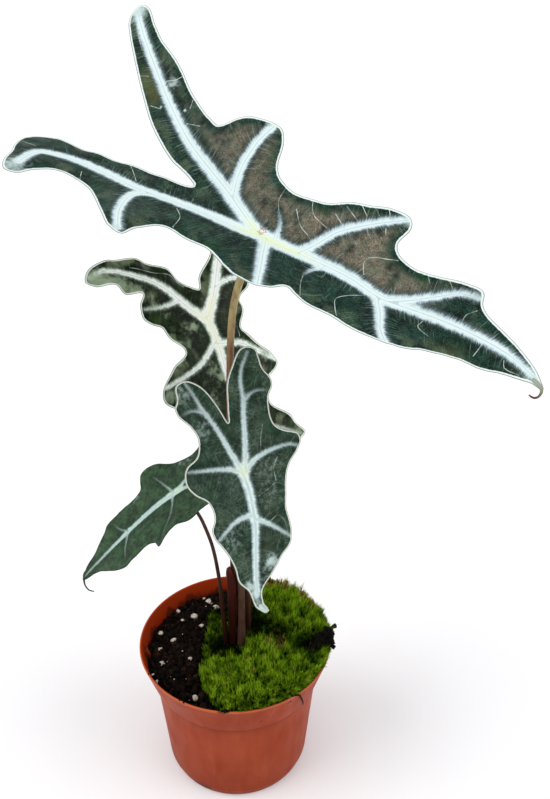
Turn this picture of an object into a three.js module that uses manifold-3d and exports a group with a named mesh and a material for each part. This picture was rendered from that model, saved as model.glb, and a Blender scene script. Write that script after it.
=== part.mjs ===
// A potted alocasia nobilis: four arrow-shaped leaves in a terracotta-coloured nursery pot, with a
// cushion of moss over two thirds of the potting mix. Millimetres, +Z up, origin at the centre of
// the underside of the pot.
import * as THREE from 'three';
import { mergeVertices } from 'three/addons/utils/BufferGeometryUtils.js';
import Module from 'manifold-3d';

const wasm = await Module();
wasm.setup();

// Driving dimensions.
const CLEARANCE = 0.35;
const FLATNESS = 0.05;

const POT = {
  height: 92,
  rimRadius: 60,
  lipRadius: 0.5,
  wall: 1.3,
  collarHeight: 23.3,
  collarFootRadius: 52.6,
  ledge: 0.8,
  shoulderRadius: 51,
  cornerRadius: 45.2,
  cornerHeight: 5.5,
  footRadius: 43,
  footWidth: 5,
  floorTop: 3,
  floorRecess: 1.6,
  bossRadius: 10,
  holeCount: 8,
  holeRadius: 3.5,
  holeSides: 10,
  holeCircle: 26,
  segments: 48,
};

const LUG = { count: 3, firstAngle: 186, width: 4, proud: 2.2, bottom: 72, top: 88 };

const MIX = {
  level: 81.5,
  relief: 1.5,
  ringStep: 4.6,
  segments: 48,
  grainCount: 30,
  grainMin: 0.9,
  grainMax: 2.1,
};

const MOSS = {
  least: 2,
  edgeHeight: 2.4,
  edgeRound: 1.2,
  rise: 6.2,
  riseLength: 22,
  tilt: 0.045,
  lump: 0.9,
  hollow: { centre: [3, 6], depth: 3.4, radius: 12 },
  rings: 8,
  spokes: 50,
  edgeSteps: 44,
  centre: [17, -2],
  // Where the cushion ends across the mix, from the back wall round to the front wall.
  openEdge: [
    [12, 53], [3, 46], [-7, 40], [-15, 34], [-19, 27], [-18, 16], [-20, 4], [-20, -10], [-21, -23],
    [-18, -37], [-12, -47], [-5, -54],
  ],
};

const CORM = {
  centre: [1, 4],
  top: 74,
  profile: [[0, 38], [4, 40], [8, 48], [9.5, 58], [9.2, 68], [8.6, 74], [0, 74]],
  sides: 14,
  rootCount: 7,
  rootRadius: 1.5,
  rootTipRadius: 0.9,
  rootSides: 5,
  rootStep: 9,
  rootStart: 56,
  rootReach: 32,
  rootDepth: [12, 34],
};

const BLADE = {
  thickness: 0.9,
  valley: 4,
  ribSink: 0.2,
  ribSides: 5,
  ribStep: 15,
  ribTip: 0.55,
  veinShare: 0.85,
};

// Each leaf: its seat (the point where the petiole meets the blade), the compass direction and the
// slope of its midrib, the roll about it, the fold along it, how the tip, the rear lobes and the
// sides droop (per mm), and the waves of its margin. Outlines and veins are [along, across] in mm
// from the seat, along the midrib towards the tip and across to its left.
const LEAVES = {
  crown: {
    seat: [19.5, 0, 356], heading: -36, slope: -15, roll: -24, fold: 22,
    tipDroop: 0.0006, lobeDroop: 0.0004, sideDroop: 0,
    wave: 3, waveLength: 78, waveStart: 10, halfWidth: 45,
    gridStep: 10, ribRadius: 1.0, colour: 0x2f4a38,
    outline: [
      [-149, 73], [-138, 73], [-121, 62], [-101, 55], [-83, 45], [-65, 37], [-57, 35], [-45, 44],
      [-33, 48], [-26, 48], [-21, 43], [-17, 33], [-11, 27], [2, 24], [15, 25], [33, 32], [49, 38],
      [58, 39], [61, 35], [60, 26], [63, 22], [72, 20], [86, 22], [100, 25], [107, 25], [110, 20],
      [120, 16], [134, 13], [146, 8], [152, 3], [146, 3], [137, 0], [124, -5], [108, -11], [102, -15],
      [97, -20], [90, -23], [76, -27], [60, -27], [48, -30], [42, -29], [35, -27], [31, -35],
      [25, -39], [15, -39], [7, -36], [-8, -31], [-19, -32], [-32, -34], [-38, -45], [-38, -55],
      [-46, -55], [-56, -50], [-73, -40], [-86, -34], [-98, -34], [-108, -40], [-112, -52],
      [-121, -53], [-130, -43], [-139, -32], [-142, -23], [-135, -15], [-118, -10], [-100, -6],
      [-82, -2], [-60, 1], [-49, 4], [-54, 6], [-72, 11], [-91, 20], [-110, 33], [-129, 48], [-143, 62],
    ],
    midrib: [[-2, 0], [21, 1], [44, 2], [68, 1], [93, 4], [118, 7], [140, 7], [148, 5]],
    veins: [
      [[0, 0], [-26, 9], [-49, 18], [-70, 27], [-95, 38], [-118, 51], [-138, 67]],
      [[-28, 10], [-30, 24], [-33, 36], [-33, 44]],
      [[0, 0], [-34, -11], [-62, -17], [-82, -20], [-104, -23], [-124, -30], [-127, -39], [-120, -47]],
      [[-68, -18], [-60, -28], [-52, -40], [-46, -49]],
      [[22, 1], [38, 12], [49, 22], [56, 33]],
      [[79, 2], [90, 10], [98, 17], [104, 22]],
      [[2, 0], [11, -12], [20, -24], [25, -33]],
      [[68, 1], [79, -8], [87, -19]],
    ],
  },
  back: {
    seat: [-14, 45, 291.5], heading: -46, slope: -58, roll: -4, fold: 6,
    tipDroop: 0.002, lobeDroop: 0.003, sideDroop: 0.002,
    wave: 3.5, waveLength: 46, waveStart: 6, halfWidth: 32,
    gridStep: 7.6, ribRadius: 0.9, colour: 0x33503a,
    outline: [
      [-40, -60], [-45, -55], [-47, -47], [-45, -33], [-39, -22], [-30, -11], [-19, -3], [-16, 1],
      [-23, 7], [-34, 18], [-46, 26], [-58, 32], [-66, 39], [-66, 46], [-58, 50], [-46, 49],
      [-34, 46], [-20, 41], [-10, 36], [-4, 28], [6, 22], [14, 19], [20, 21], [26, 26], [33, 33],
      [39, 36], [43, 33], [46, 25], [52, 20], [60, 21], [70, 28], [79, 36], [85, 40], [88, 34],
      [90, 24], [94, 14], [102, 6], [109, 1], [102, -3], [92, -7], [82, -14], [74, -20], [66, -23],
      [58, -22], [50, -27], [44, -35], [38, -41], [32, -44], [26, -41], [20, -33], [15, -24],
      [6, -26], [-2, -28], [-6, -34], [-12, -37], [-18, -37], [-23, -35], [-26, -43], [-32, -48],
      [-35, -58],
    ],
    midrib: [[-1, 0], [17, 0], [34, 0], [60, 1], [84, 2], [105, 1]],
    veins: [
      [[0, 0], [-10, -7], [-23, -19], [-33, -34], [-40, -48], [-40, -55]],
      [[-15, -12], [-14, -22], [-14, -33]],
      [[0, 0], [-13, 9], [-28, 18], [-42, 30], [-58, 41]],
      [[-16, 11], [-18, 22], [-15, 34]],
      [[15, 0], [24, -16], [30, -36]],
      [[17, 0], [21, 14], [28, 23], [36, 31]],
      [[62, 1], [70, 14], [81, 33]],
      [[62, 1], [66, -10], [66, -18]],
    ],
  },
  front: {
    seat: [8.3, -35, 241], heading: -68, slope: -62, roll: 0, fold: 8,
    tipDroop: 0.002, lobeDroop: 0.001, sideDroop: 0,
    wave: 1.5, waveLength: 44, waveStart: 4, halfWidth: 28,
    gridStep: 7, ribRadius: 0.85, colour: 0x34503c,
    outline: [
      [-62, 14], [-61, 10], [-54, 5], [-47, 1], [-39, -1], [-32, -2], [-25, -3], [-36, -8], [-43, -12],
      [-48, -17], [-50, -22], [-48, -27], [-41, -28], [-37, -30], [-33, -29], [-27, -24], [-21, -21],
      [-16, -21], [-11, -23], [-7, -29], [-3, -31], [2, -31], [7, -28], [12, -22], [17, -20],
      [22, -20], [27, -22], [32, -21], [37, -18], [43, -15], [50, -13], [57, -12], [63, -8], [70, -6],
      [75, -3], [77, 0], [72, 1], [65, 2], [60, 5], [54, 9], [48, 15], [43, 19], [38, 20], [31, 20],
      [23, 19], [15, 20], [7, 22], [1, 25], [-4, 30], [-9, 33], [-13, 32], [-16, 25], [-19, 21],
      [-24, 19], [-30, 19], [-35, 20], [-40, 23], [-44, 23], [-50, 20], [-55, 19], [-60, 18],
    ],
    midrib: [[-1, 0], [11, 1], [24, 1], [37, 1], [50, 0], [63, -2], [73, -1]],
    veins: [
      [[0, 0], [-19, 3], [-34, 7], [-48, 11], [-57, 14]],
      [[-35, 7], [-37, 14], [-38, 20]],
      [[0, 0], [-20, -6], [-33, -12], [-41, -18], [-46, -22]],
      [[-32, -12], [-34, -20], [-35, -25]],
      [[0, 0], [-1, -9], [-2, -18], [-1, -26]],
      [[0, 0], [-4, 11], [-8, 20], [-11, 28]],
      [[22, 1], [25, -8], [28, -17]],
      [[23, 1], [26, 8], [34, 16]],
    ],
  },
  side: {
    seat: [-29, -10, 211], heading: -162, slope: -38, roll: 8, fold: 8,
    tipDroop: 0.0015, lobeDroop: 0.002, sideDroop: 0,
    wave: 1.2, waveLength: 40, waveStart: 4, halfWidth: 26,
    gridStep: 7, ribRadius: 0.75, colour: 0x35573a,
    outline: [
      [-28, -16], [-21, -14], [-16, -14], [-9, -16], [-1, -22], [4, -26], [10, -28], [14, -27],
      [17, -22], [19, -19], [25, -18], [34, -18], [43, -18], [48, -17], [51, -14], [56, -11],
      [62, -9], [68, -7], [73, -4], [76, -1], [73, 1], [66, 3], [58, 10], [51, 17], [46, 20],
      [41, 18], [34, 18], [27, 19], [24, 22], [22, 28], [18, 26], [13, 24], [8, 24], [2, 26],
      [-4, 26], [-10, 26], [-17, 27], [-25, 25], [-28, 19], [-23, 10], [-13, 2], [-22, -4], [-29, -11],
    ],
    midrib: [[-1, 0], [10, -1], [25, -2], [41, -2], [58, -2], [72, -2]],
    veins: [
      [[0, 0], [-12, 7], [-22, 18]],
      [[0, 0], [-12, -5], [-24, -12]],
      [[4, -1], [7, -13], [11, -23]],
      [[6, -1], [12, 10], [20, 23]],
      [[38, -2], [43, -9], [48, -13]],
      [[40, -2], [43, 8], [46, 15]],
    ],
  },
};

// Petioles, from the corm up to the blade: points on the centre line, and the radius at the corm,
// a third of the way up and at the blade.
const PETIOLE = { sides: 8, step: 13 };

const PETIOLES = {
  crown: {
    path: [
      [-0.2, 3.4, 74.4], [0, 3.4, 92], [0.1, 3.2, 128], [0.4, 3, 200], [0.9, 3, 278], [3.3, 3, 313.5],
      [7.2, 3, 329.5], [13.5, 1.8, 344],
    ],
    radii: [2.8, 2.2, 1.8], colour: 0x8f6a4c,
  },
  back: {
    path: [
      [5.6, 8.2, 74.4], [7.4, 9, 92], [7.8, 9.5, 115], [6.5, 12, 140], [0, 23, 190], [-6.5, 36, 240],
      [-13, 47, 270], [-17, 50.5, 284],
    ],
    radii: [2.1, 1.7, 1.3], colour: 0x5c4234,
  },
  front: {
    path: [
      [4, -0.6, 74.4], [4, -0.4, 92], [4.4, 0, 131], [4.9, -5, 175], [6, -15, 212], [7, -26, 232],
    ],
    radii: [2.4, 1.9, 1.3], colour: 0x6b5349,
  },
  side: {
    path: [
      [-6.6, 3.6, 74.4], [-8, 3, 90], [-8.4, 3, 104], [-9.2, 3, 136], [-12, 2.4, 160.5],
      [-15, 1, 174], [-18.6, -2, 187.5], [-24, -6.6, 201],
    ],
    radii: [1.5, 1.25, 1.0], colour: 0x3a2620,
  },
};

// The dry sheath leaf that once wrapped the newest petiole: a trough that narrows to a blunt tip.
const CATAPHYLL = {
  axis: [-0.1, 3.4],
  bottom: 74.4,
  top: 149,
  innerRadius: 3.3,
  flare: 0.8,
  thickness: 0.9,
  facing: 190,
  spread: 80,
  tipSpread: 14,
  rows: 9,
  columns: 6,
};

// A crumb of bark with two stubs of dead root, caught in the moss and lying across the rim.
const SCRAP = {
  lumps: [[45, -12, 92.6, 4.4], [50.5, -8.5, 93.2, 4.8], [55.5, -3.5, 93.6, 4.4], [57.5, 2, 93.8, 3.4]],
  roughness: 0.14,
  stubs: [[[55, -6, 94], [61.6, -10.6, 93.8]], [[57, 2, 94.6], [63, 7.6, 94.8]]],
  stubRadius: 1.2,
  stubSides: 6,
};

const radians = THREE.MathUtils.degToRad;

// A fixed sequence of numbers between 0 and 1, the same on every run.
function seededRandom(seed) {
  let state = seed;
  return () => {
    state = (state * 16807) % 2147483647;
    return state / 2147483647;
  };
}

function toSolid(geometry) {
  const bare = geometry.clone();
  bare.deleteAttribute('normal');
  bare.deleteAttribute('uv');
  const welded = mergeVertices(bare, 1e-4);
  return new wasm.Manifold(new wasm.Mesh({
    numProp: 3,
    vertProperties: new Float32Array(welded.attributes.position.array),
    triVerts: new Uint32Array(welded.index.array),
  }));
}

// The solid without the loose slivers that cutting can leave, and without needless edges.
function mainBody(solid) {
  const bodies = solid.simplify(FLATNESS).decompose();
  return bodies.reduce((best, body) => (body.volume() > best.volume() ? body : best));
}

function toGeometry(solid) {
  const mesh = mainBody(solid).getMesh();
  const geometry = new THREE.BufferGeometry();
  geometry.setAttribute('position', new THREE.BufferAttribute(new Float32Array(mesh.vertProperties), 3));
  geometry.setIndex(new THREE.BufferAttribute(new Uint32Array(mesh.triVerts), 1));
  geometry.computeVertexNormals();
  return geometry;
}

// A closed geometry from rings of equal length, each joined to the next, with a fan on each end.
function loft(rings) {
  const count = rings[0].length;
  const vertices = rings.flat();
  const triangles = [];
  for (let r = 0; r + 1 < rings.length; r++) {
    for (let k = 0; k < count; k++) {
      const a = r * count + k;
      const b = r * count + ((k + 1) % count);
      triangles.push(a, b, b + count, a, b + count, a + count);
    }
  }
  for (const start of [0, (rings.length - 1) * count]) {
    const hub = vertices.length;
    const middle = new THREE.Vector3();
    vertices.slice(start, start + count).forEach((point) => middle.addScaledVector(point, 1 / count));
    vertices.push(middle);
    for (let k = 0; k < count; k++) {
      const a = start + k;
      const b = start + ((k + 1) % count);
      triangles.push(...(start === 0 ? [hub, b, a] : [hub, a, b]));
    }
  }
  const geometry = new THREE.BufferGeometry().setFromPoints(vertices);
  geometry.setIndex(triangles);
  return geometry;
}

function curveThrough(points) {
  return new THREE.CatmullRomCurve3(points.map((point) => new THREE.Vector3(...point)), false, 'centripetal');
}

// A round stem along a curve; radiusAt gives its radius from 0 at the start to 1 at the end, and
// grow makes it thicker and longer all round.
function stem(curve, radiusAt, sides, step, grow = 0) {
  const steps = Math.max(3, Math.round(curve.getLength() / step));
  const frames = curve.computeFrenetFrames(steps, false);
  const rings = [];
  for (let s = 0; s <= steps; s++) {
    const centre = curve.getPointAt(s / steps);
    const radius = radiusAt(s / steps) + grow;
    if (s === 0) {
      centre.addScaledVector(frames.tangents[s], -grow);
    } else if (s === steps) {
      centre.addScaledVector(frames.tangents[s], grow);
    }
    rings.push(Array.from({ length: sides }, (_, k) => {
      const angle = (2 * Math.PI * k) / sides;
      return centre.clone()
        .addScaledVector(frames.normals[s], radius * Math.cos(angle))
        .addScaledVector(frames.binormals[s], radius * Math.sin(angle));
    }));
  }
  return loft(rings);
}

function turned(profile, segments) {
  const points = profile.map(([r, z]) => new THREE.Vector2(r, z));
  return new THREE.LatheGeometry(points, segments).rotateX(Math.PI / 2);
}

// The pot: a thin moulded wall with a flared collar, drain holes, and stacking lugs inside.
const collarFoot = POT.height - POT.collarHeight;
const shoulder = collarFoot - POT.ledge;
const innerWall = [
  [POT.footRadius - POT.wall + POT.wall / 2, POT.floorTop],
  [POT.cornerRadius - POT.wall, POT.cornerHeight + POT.wall / 2],
  [POT.shoulderRadius - POT.wall, shoulder - POT.wall / 2],
  [POT.collarFootRadius - POT.wall, collarFoot],
  [POT.rimRadius - POT.wall, POT.height],
];
const collarLean = (POT.rimRadius - POT.collarFootRadius) / POT.collarHeight;

function innerRadius(z) {
  const top = Math.max(1, innerWall.findIndex((point) => point[1] >= z));
  const [r0, z0] = innerWall[top - 1];
  const [r1, z1] = innerWall[top];
  return r0 + ((r1 - r0) * (z - z0)) / (z1 - z0);
}

function lugs(grow) {
  const middle = (LUG.bottom + LUG.top) / 2;
  return Array.from({ length: LUG.count }, (_, index) => {
    const depth = LUG.proud + grow + POT.wall / 2;
    const lug = new THREE.BoxGeometry(depth, LUG.width + 2 * grow, LUG.top - LUG.bottom + 2 * grow);
    lug.translate((POT.wall - depth) / 2, 0, 0);
    lug.rotateY(Math.atan(collarLean));
    lug.translate(innerRadius(middle), 0, middle);
    lug.rotateZ(radians(LUG.firstAngle + (360 / LUG.count) * index));
    return toSolid(lug);
  });
}

function buildPot() {
  const outside = [
    [0, 0],
    [POT.bossRadius, 0],
    [POT.bossRadius + 0.7 * POT.floorRecess, POT.floorRecess],
    [POT.footRadius - POT.footWidth - 0.7 * POT.floorRecess, POT.floorRecess],
    [POT.footRadius - POT.footWidth, 0],
    [POT.footRadius, 0],
    [POT.cornerRadius, POT.cornerHeight],
    [POT.shoulderRadius, shoulder],
    [POT.collarFootRadius, collarFoot],
    [POT.rimRadius - 0.7 * POT.lipRadius, POT.height - 2 * POT.lipRadius],
    [POT.rimRadius, POT.height - POT.lipRadius],
    [POT.rimRadius - 0.6 * POT.lipRadius, POT.height],
  ];
  let pot = toSolid(turned([...outside, ...[...innerWall].reverse(), [0, POT.floorTop]], POT.segments));
  for (const lug of lugs(0)) {
    pot = pot.add(lug);
  }
  for (let k = 0; k < POT.holeCount; k++) {
    const hole = new THREE.CylinderGeometry(POT.holeRadius, POT.holeRadius, 4 * POT.floorTop, POT.holeSides);
    const angle = (2 * Math.PI * (k + 0.5)) / POT.holeCount;
    hole.rotateX(Math.PI / 2).translate(POT.holeCircle, 0, 0).rotateZ(angle);
    pot = pot.subtract(toSolid(hole));
  }
  return toGeometry(pot);
}

// The rootstock: a corm with a few thick roots, buried in the mix; grow widens it for its cavity.
function rootstock(grow) {
  const profile = CORM.profile.map(([r, z]) => [
    r === 0 ? 0 : r + grow,
    z === CORM.top ? z + grow : z - grow,
  ]);
  let body = toSolid(turned(profile, CORM.sides).translate(CORM.centre[0], CORM.centre[1], 0));
  const random = seededRandom(41);
  for (let k = 0; k < CORM.rootCount; k++) {
    const angle = (2 * Math.PI * (k + 0.5 * random())) / CORM.rootCount;
    const reach = CORM.rootReach * (0.8 + 0.25 * random());
    const depth = THREE.MathUtils.lerp(...CORM.rootDepth, random());
    const at = (distance, z) => [
      CORM.centre[0] + distance * Math.cos(angle + distance / 90),
      CORM.centre[1] + distance * Math.sin(angle + distance / 90),
      z,
    ];
    const bend = CORM.rootStart - 4;
    const path = [
      at(4, CORM.rootStart),
      at(12, bend),
      at(0.6 * reach, 0.5 * (bend + depth)),
      at(reach, depth),
    ];
    const radiusAt = (t) => THREE.MathUtils.lerp(CORM.rootRadius, CORM.rootTipRadius, t);
    body = body.add(toSolid(stem(curveThrough(path), radiusAt, CORM.rootSides, CORM.rootStep, grow)));
  }
  return body;
}

// The frame of a leaf: x along the midrib, y to its left, z out of the upper face.
function leafFrame(leaf) {
  const heading = radians(leaf.heading);
  const slope = radians(leaf.slope);
  const along = new THREE.Vector3(
    Math.cos(slope) * Math.cos(heading), Math.cos(slope) * Math.sin(heading), Math.sin(slope));
  const level = new THREE.Vector3(0, 0, 1).addScaledVector(along, -along.z).normalize();
  const out = level.clone().applyAxisAngle(along, -radians(leaf.roll));
  const across = out.clone().cross(along);
  return new THREE.Matrix4().makeBasis(along, across, out).setPosition(...leaf.seat);
}

// Height of the upper face of a blade over its frame.
function bladeHeight(leaf, u, v) {
  const fold = Math.tan(radians(leaf.fold)) * (Math.hypot(v, BLADE.valley) - BLADE.valley);
  const droop = 0.5 * (u > 0 ? leaf.tipDroop : leaf.lobeDroop) * u * u + 0.5 * leaf.sideDroop * v * v;
  const edge = Math.min(1, (v / leaf.halfWidth) ** 2);
  const wave = leaf.wave * edge * Math.sin((2 * Math.PI * (u - leaf.waveStart)) / leaf.waveLength);
  return fold - droop + wave;
}

// A closed sheet that follows a blade, from above to below its upper face, over a rectangle.
function bladeSheet(leaf, above, below, [uMin, uMax], [vMin, vMax]) {
  const columns = Math.ceil((uMax - uMin) / leaf.gridStep);
  const rows = Math.ceil((vMax - vMin) / leaf.gridStep);
  const vertices = [];
  const triangles = [];
  for (const offset of [above, -below]) {
    for (let i = 0; i <= columns; i++) {
      for (let j = 0; j <= rows; j++) {
        const u = uMin + ((uMax - uMin) * i) / columns;
        const v = vMin + ((vMax - vMin) * j) / rows;
        vertices.push(new THREE.Vector3(u, v, bladeHeight(leaf, u, v) + offset));
      }
    }
  }
  const layer = (columns + 1) * (rows + 1);
  const at = (i, j) => i * (rows + 1) + j;
  for (let i = 0; i < columns; i++) {
    for (let j = 0; j < rows; j++) {
      const corners = [at(i, j), at(i + 1, j), at(i + 1, j + 1), at(i, j + 1)];
      const [a, b, c, d] = corners;
      const [e, f, g, h] = corners.map((corner) => corner + layer);
      triangles.push(a, b, c, a, c, d, e, g, f, e, h, g);
    }
  }
  const border = [];
  for (let i = 0; i < columns; i++) border.push(at(i, 0));
  for (let j = 0; j < rows; j++) border.push(at(columns, j));
  for (let i = columns; i > 0; i--) border.push(at(i, rows));
  for (let j = rows; j > 0; j--) border.push(at(0, j));
  border.forEach((a, k) => {
    const b = border[(k + 1) % border.length];
    triangles.push(a + layer, b + layer, b, a + layer, b, a);
  });
  const geometry = new THREE.BufferGeometry().setFromPoints(vertices);
  geometry.setIndex(triangles);
  return toSolid(geometry);
}

// A prism with the leaf's outline, tall enough to pass through the whole blade.
function outlinePrism(leaf) {
  const shape = new THREE.Shape(leaf.outline.map(([u, v]) => new THREE.Vector2(u, v)));
  const depth = 400;
  const prism = new THREE.ExtrudeGeometry(shape, { depth, bevelEnabled: false });
  return toSolid(prism.translate(0, 0, -depth / 2));
}

// A vein stands out of the lower face as a tapering rib.
function rib(leaf, course, radius) {
  const flat = curveThrough(course.map(([u, v]) => [u, v, 0]));
  const count = Math.max(3, Math.round(flat.getLength() / BLADE.ribStep));
  const points = flat.getSpacedPoints(count).map(({ x, y }) => [
    x, y, bladeHeight(leaf, x, y) - BLADE.thickness - BLADE.ribSink,
  ]);
  const radiusAt = (t) => THREE.MathUtils.lerp(radius, BLADE.ribTip, t);
  return toSolid(stem(curveThrough(points), radiusAt, BLADE.ribSides, BLADE.ribStep));
}

function buildBlade(leaf) {
  const margin = 4;
  const reach = (values) => [Math.min(...values) - margin, Math.max(...values) + margin];
  const along = reach(leaf.outline.map(([u]) => u));
  const across = reach(leaf.outline.map(([, v]) => v));
  const sheet = bladeSheet(leaf, 0, BLADE.thickness, along, across);
  let blade = sheet.intersect(outlinePrism(leaf)).add(rib(leaf, leaf.midrib, leaf.ribRadius));
  for (const vein of leaf.veins) {
    blade = blade.add(rib(leaf, vein, BLADE.veinShare * leaf.ribRadius));
  }
  return toGeometry(blade);
}

// A petiole, cut off just under its blade; grow widens it for the hole it stands in.
function petiole(name, grow) {
  const { path, radii } = PETIOLES[name];
  const leaf = LEAVES[name];
  const frame = leafFrame(leaf);
  const through = new THREE.Vector3(0, 0, 2).applyMatrix4(frame);
  const [low, middle, high] = radii;
  const radiusAt = (t) => (t < 1 / 3
    ? THREE.MathUtils.lerp(low, middle, 3 * t)
    : THREE.MathUtils.lerp(middle, high, (3 * t - 1) / 2));
  const curve = curveThrough([...path, through.toArray()]);
  const whole = toSolid(stem(curve, radiusAt, PETIOLE.sides, PETIOLE.step, grow));
  const ribDepth = BLADE.thickness + BLADE.ribSink + leaf.ribRadius;
  const reach = 18;
  const room = bladeSheet(leaf, 3 * reach, ribDepth + CLEARANCE, [-reach, reach], [-reach, reach]);
  return whole.subtract(room.transform(frame.elements));
}

function cataphyll(grow) {
  const facing = radians(CATAPHYLL.facing);
  const rings = [];
  for (let row = 0; row <= CATAPHYLL.rows; row++) {
    const t = row / CATAPHYLL.rows;
    const spread = radians(THREE.MathUtils.lerp(CATAPHYLL.spread, CATAPHYLL.tipSpread, t ** 4));
    const inner = CATAPHYLL.innerRadius + CATAPHYLL.flare * t - grow;
    const side = spread + grow / inner;
    const z = THREE.MathUtils.lerp(CATAPHYLL.bottom, CATAPHYLL.top + grow, t);
    const at = (radius, angle) => new THREE.Vector3(
      CATAPHYLL.axis[0] + radius * Math.cos(facing + angle),
      CATAPHYLL.axis[1] + radius * Math.sin(facing + angle),
      z);
    const ring = [];
    for (let k = 0; k <= CATAPHYLL.columns; k++) {
      ring.push(at(inner + CATAPHYLL.thickness + 2 * grow, side * ((2 * k) / CATAPHYLL.columns - 1)));
    }
    for (let k = CATAPHYLL.columns; k >= 0; k--) {
      ring.push(at(inner, side * ((2 * k) / CATAPHYLL.columns - 1)));
    }
    rings.push(ring);
  }
  return toSolid(sheathFrom(rings));
}

// Like a loft, with each end closed across the trough instead of by a fan.
function sheathFrom(rings) {
  const count = rings[0].length;
  const half = count / 2;
  const triangles = [];
  for (let r = 0; r + 1 < rings.length; r++) {
    for (let k = 0; k < count; k++) {
      const a = r * count + k;
      const b = r * count + ((k + 1) % count);
      triangles.push(a, b, b + count, a, b + count, a + count);
    }
  }
  for (let k = 0; k + 1 < half; k++) {
    const [a, b, c, d] = [k, k + 1, count - 2 - k, count - 1 - k];
    const top = (rings.length - 1) * count;
    triangles.push(a, c, b, a, d, c);
    triangles.push(top + a, top + b, top + c, top + a, top + c, top + d);
  }
  const geometry = new THREE.BufferGeometry().setFromPoints(rings.flat());
  geometry.setIndex(triangles);
  return geometry;
}

// How far a point lies from the open edge of the moss; negative on the bare side.
const openEdge = curveThrough(MOSS.openEdge.map(([x, y]) => [x, y, 0])).getSpacedPoints(MOSS.edgeSteps);

function insideMoss(x, y) {
  let nearest = Infinity;
  let side = 1;
  for (let k = 0; k + 1 < openEdge.length; k++) {
    const a = openEdge[k];
    const run = openEdge[k + 1].clone().sub(a);
    const t = THREE.MathUtils.clamp(((x - a.x) * run.x + (y - a.y) * run.y) / run.lengthSq(), 0, 1);
    const distance = Math.hypot(x - a.x - t * run.x, y - a.y - t * run.y);
    if (distance < nearest) {
      nearest = distance;
      side = Math.sign(run.x * (y - a.y) - run.y * (x - a.x));
    }
  }
  return nearest * side;
}

function mossTop(x, y) {
  const { centre, depth, radius } = MOSS.hollow;
  const rise = MOSS.rise * THREE.MathUtils.smoothstep(insideMoss(x, y), 0, MOSS.riseLength);
  const lumps = Math.sin(x / 4.3 + 0.6) * Math.sin(y / 4.9 + 1.1) + 0.5 * Math.sin(x / 2.9 - y / 3.4);
  const hollow = depth * Math.exp(-((x - centre[0]) ** 2 + (y - centre[1]) ** 2) / radius ** 2);
  const height = MOSS.edgeHeight + rise + MOSS.tilt * x + MOSS.lump * lumps - hollow;
  return MIX.level + Math.max(MOSS.least, height);
}

function mossCushion() {
  const bottom = MIX.level + CLEARANCE;
  const wallRadius = innerRadius(bottom) - CLEARANCE;
  const first = openEdge.at(-1);
  const last = openEdge[0];
  const plan = new THREE.Shape();
  plan.absarc(0, 0, wallRadius, Math.atan2(first.y, first.x), Math.atan2(last.y, last.x), false);
  openEdge.slice(1, -1).forEach((point) => plan.lineTo(point.x, point.y));
  plan.closePath();
  const border = plan.getSpacedPoints(MOSS.spokes).slice(0, MOSS.spokes);
  const centre = new THREE.Vector2(...MOSS.centre);
  // The wall leans out, and the cushion follows it up.
  const atHeight = (point, z) => (point.length() > wallRadius - 0.6
    ? point.clone().setLength(point.length() + collarLean * (z - bottom))
    : point.clone());
  const rings = [border.map((point) => new THREE.Vector3(point.x, point.y, bottom))];
  rings.push(border.map((point) => {
    const z = mossTop(point.x, point.y) - MOSS.edgeRound;
    const out = atHeight(point, z);
    return new THREE.Vector3(out.x, out.y, z);
  }));
  for (let ring = 0; ring < MOSS.rings; ring++) {
    const share = 0.975 * (1 - ring / MOSS.rings);
    rings.push(border.map((point) => {
      const out = atHeight(point, mossTop(point.x, point.y)).lerp(centre, 1 - share);
      return new THREE.Vector3(out.x, out.y, mossTop(out.x, out.y));
    }));
  }
  return toSolid(loft(rings));
}

function mixTop(x, y) {
  const radius = Math.hypot(x, y);
  const bare = THREE.MathUtils.smoothstep(-insideMoss(x, y), 1, 8);
  const wall = 1 - THREE.MathUtils.smoothstep(radius, 46, 54);
  const relief = Math.sin(x / 3.4 + y / 5.1) + Math.cos(y / 3.7 - x / 6.3);
  return MIX.level + 0.5 * MIX.relief * bare * wall * relief;
}

// The potting mix: it fills the pot, its bare part is uneven, and grains of perlite stand out of it.
function mixBody() {
  const edge = innerRadius(MIX.level) - CLEARANCE;
  const wall = innerWall.slice(0, -1).map(([r, z], index) => [
    r - CLEARANCE,
    index === 0 ? z + CLEARANCE : z,
  ]);
  const steps = Math.round(edge / MIX.ringStep);
  const top = Array.from({ length: steps + 1 }, (_, k) => [edge * (1 - k / steps), MIX.level]);
  const geometry = turned([[0, wall[0][1]], ...wall, ...top], MIX.segments);
  const position = geometry.attributes.position;
  for (let k = 0; k < position.count; k++) {
    if (position.getZ(k) > MIX.level - 0.01) {
      position.setZ(k, mixTop(position.getX(k), position.getY(k)));
    }
  }
  let mix = toSolid(geometry);
  const random = seededRandom(7);
  let placed = 0;
  while (placed < MIX.grainCount) {
    const [x, y] = [-55 + 60 * random(), -55 + 110 * random()];
    const size = THREE.MathUtils.lerp(MIX.grainMin, MIX.grainMax, random() ** 2);
    const turn = new THREE.Euler(6 * random(), 6 * random(), 6 * random());
    if (Math.hypot(x, y) > edge - 3 || insideMoss(x, y) > -3) {
      continue;
    }
    const grain = new THREE.IcosahedronGeometry(size, 0).scale(1.15, 1, 0.8);
    grain.applyMatrix4(new THREE.Matrix4().makeRotationFromEuler(turn));
    grain.translate(x, y, mixTop(x, y) + 0.15 * size);
    mix = mix.add(toSolid(grain));
    placed++;
  }
  return mix;
}

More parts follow.
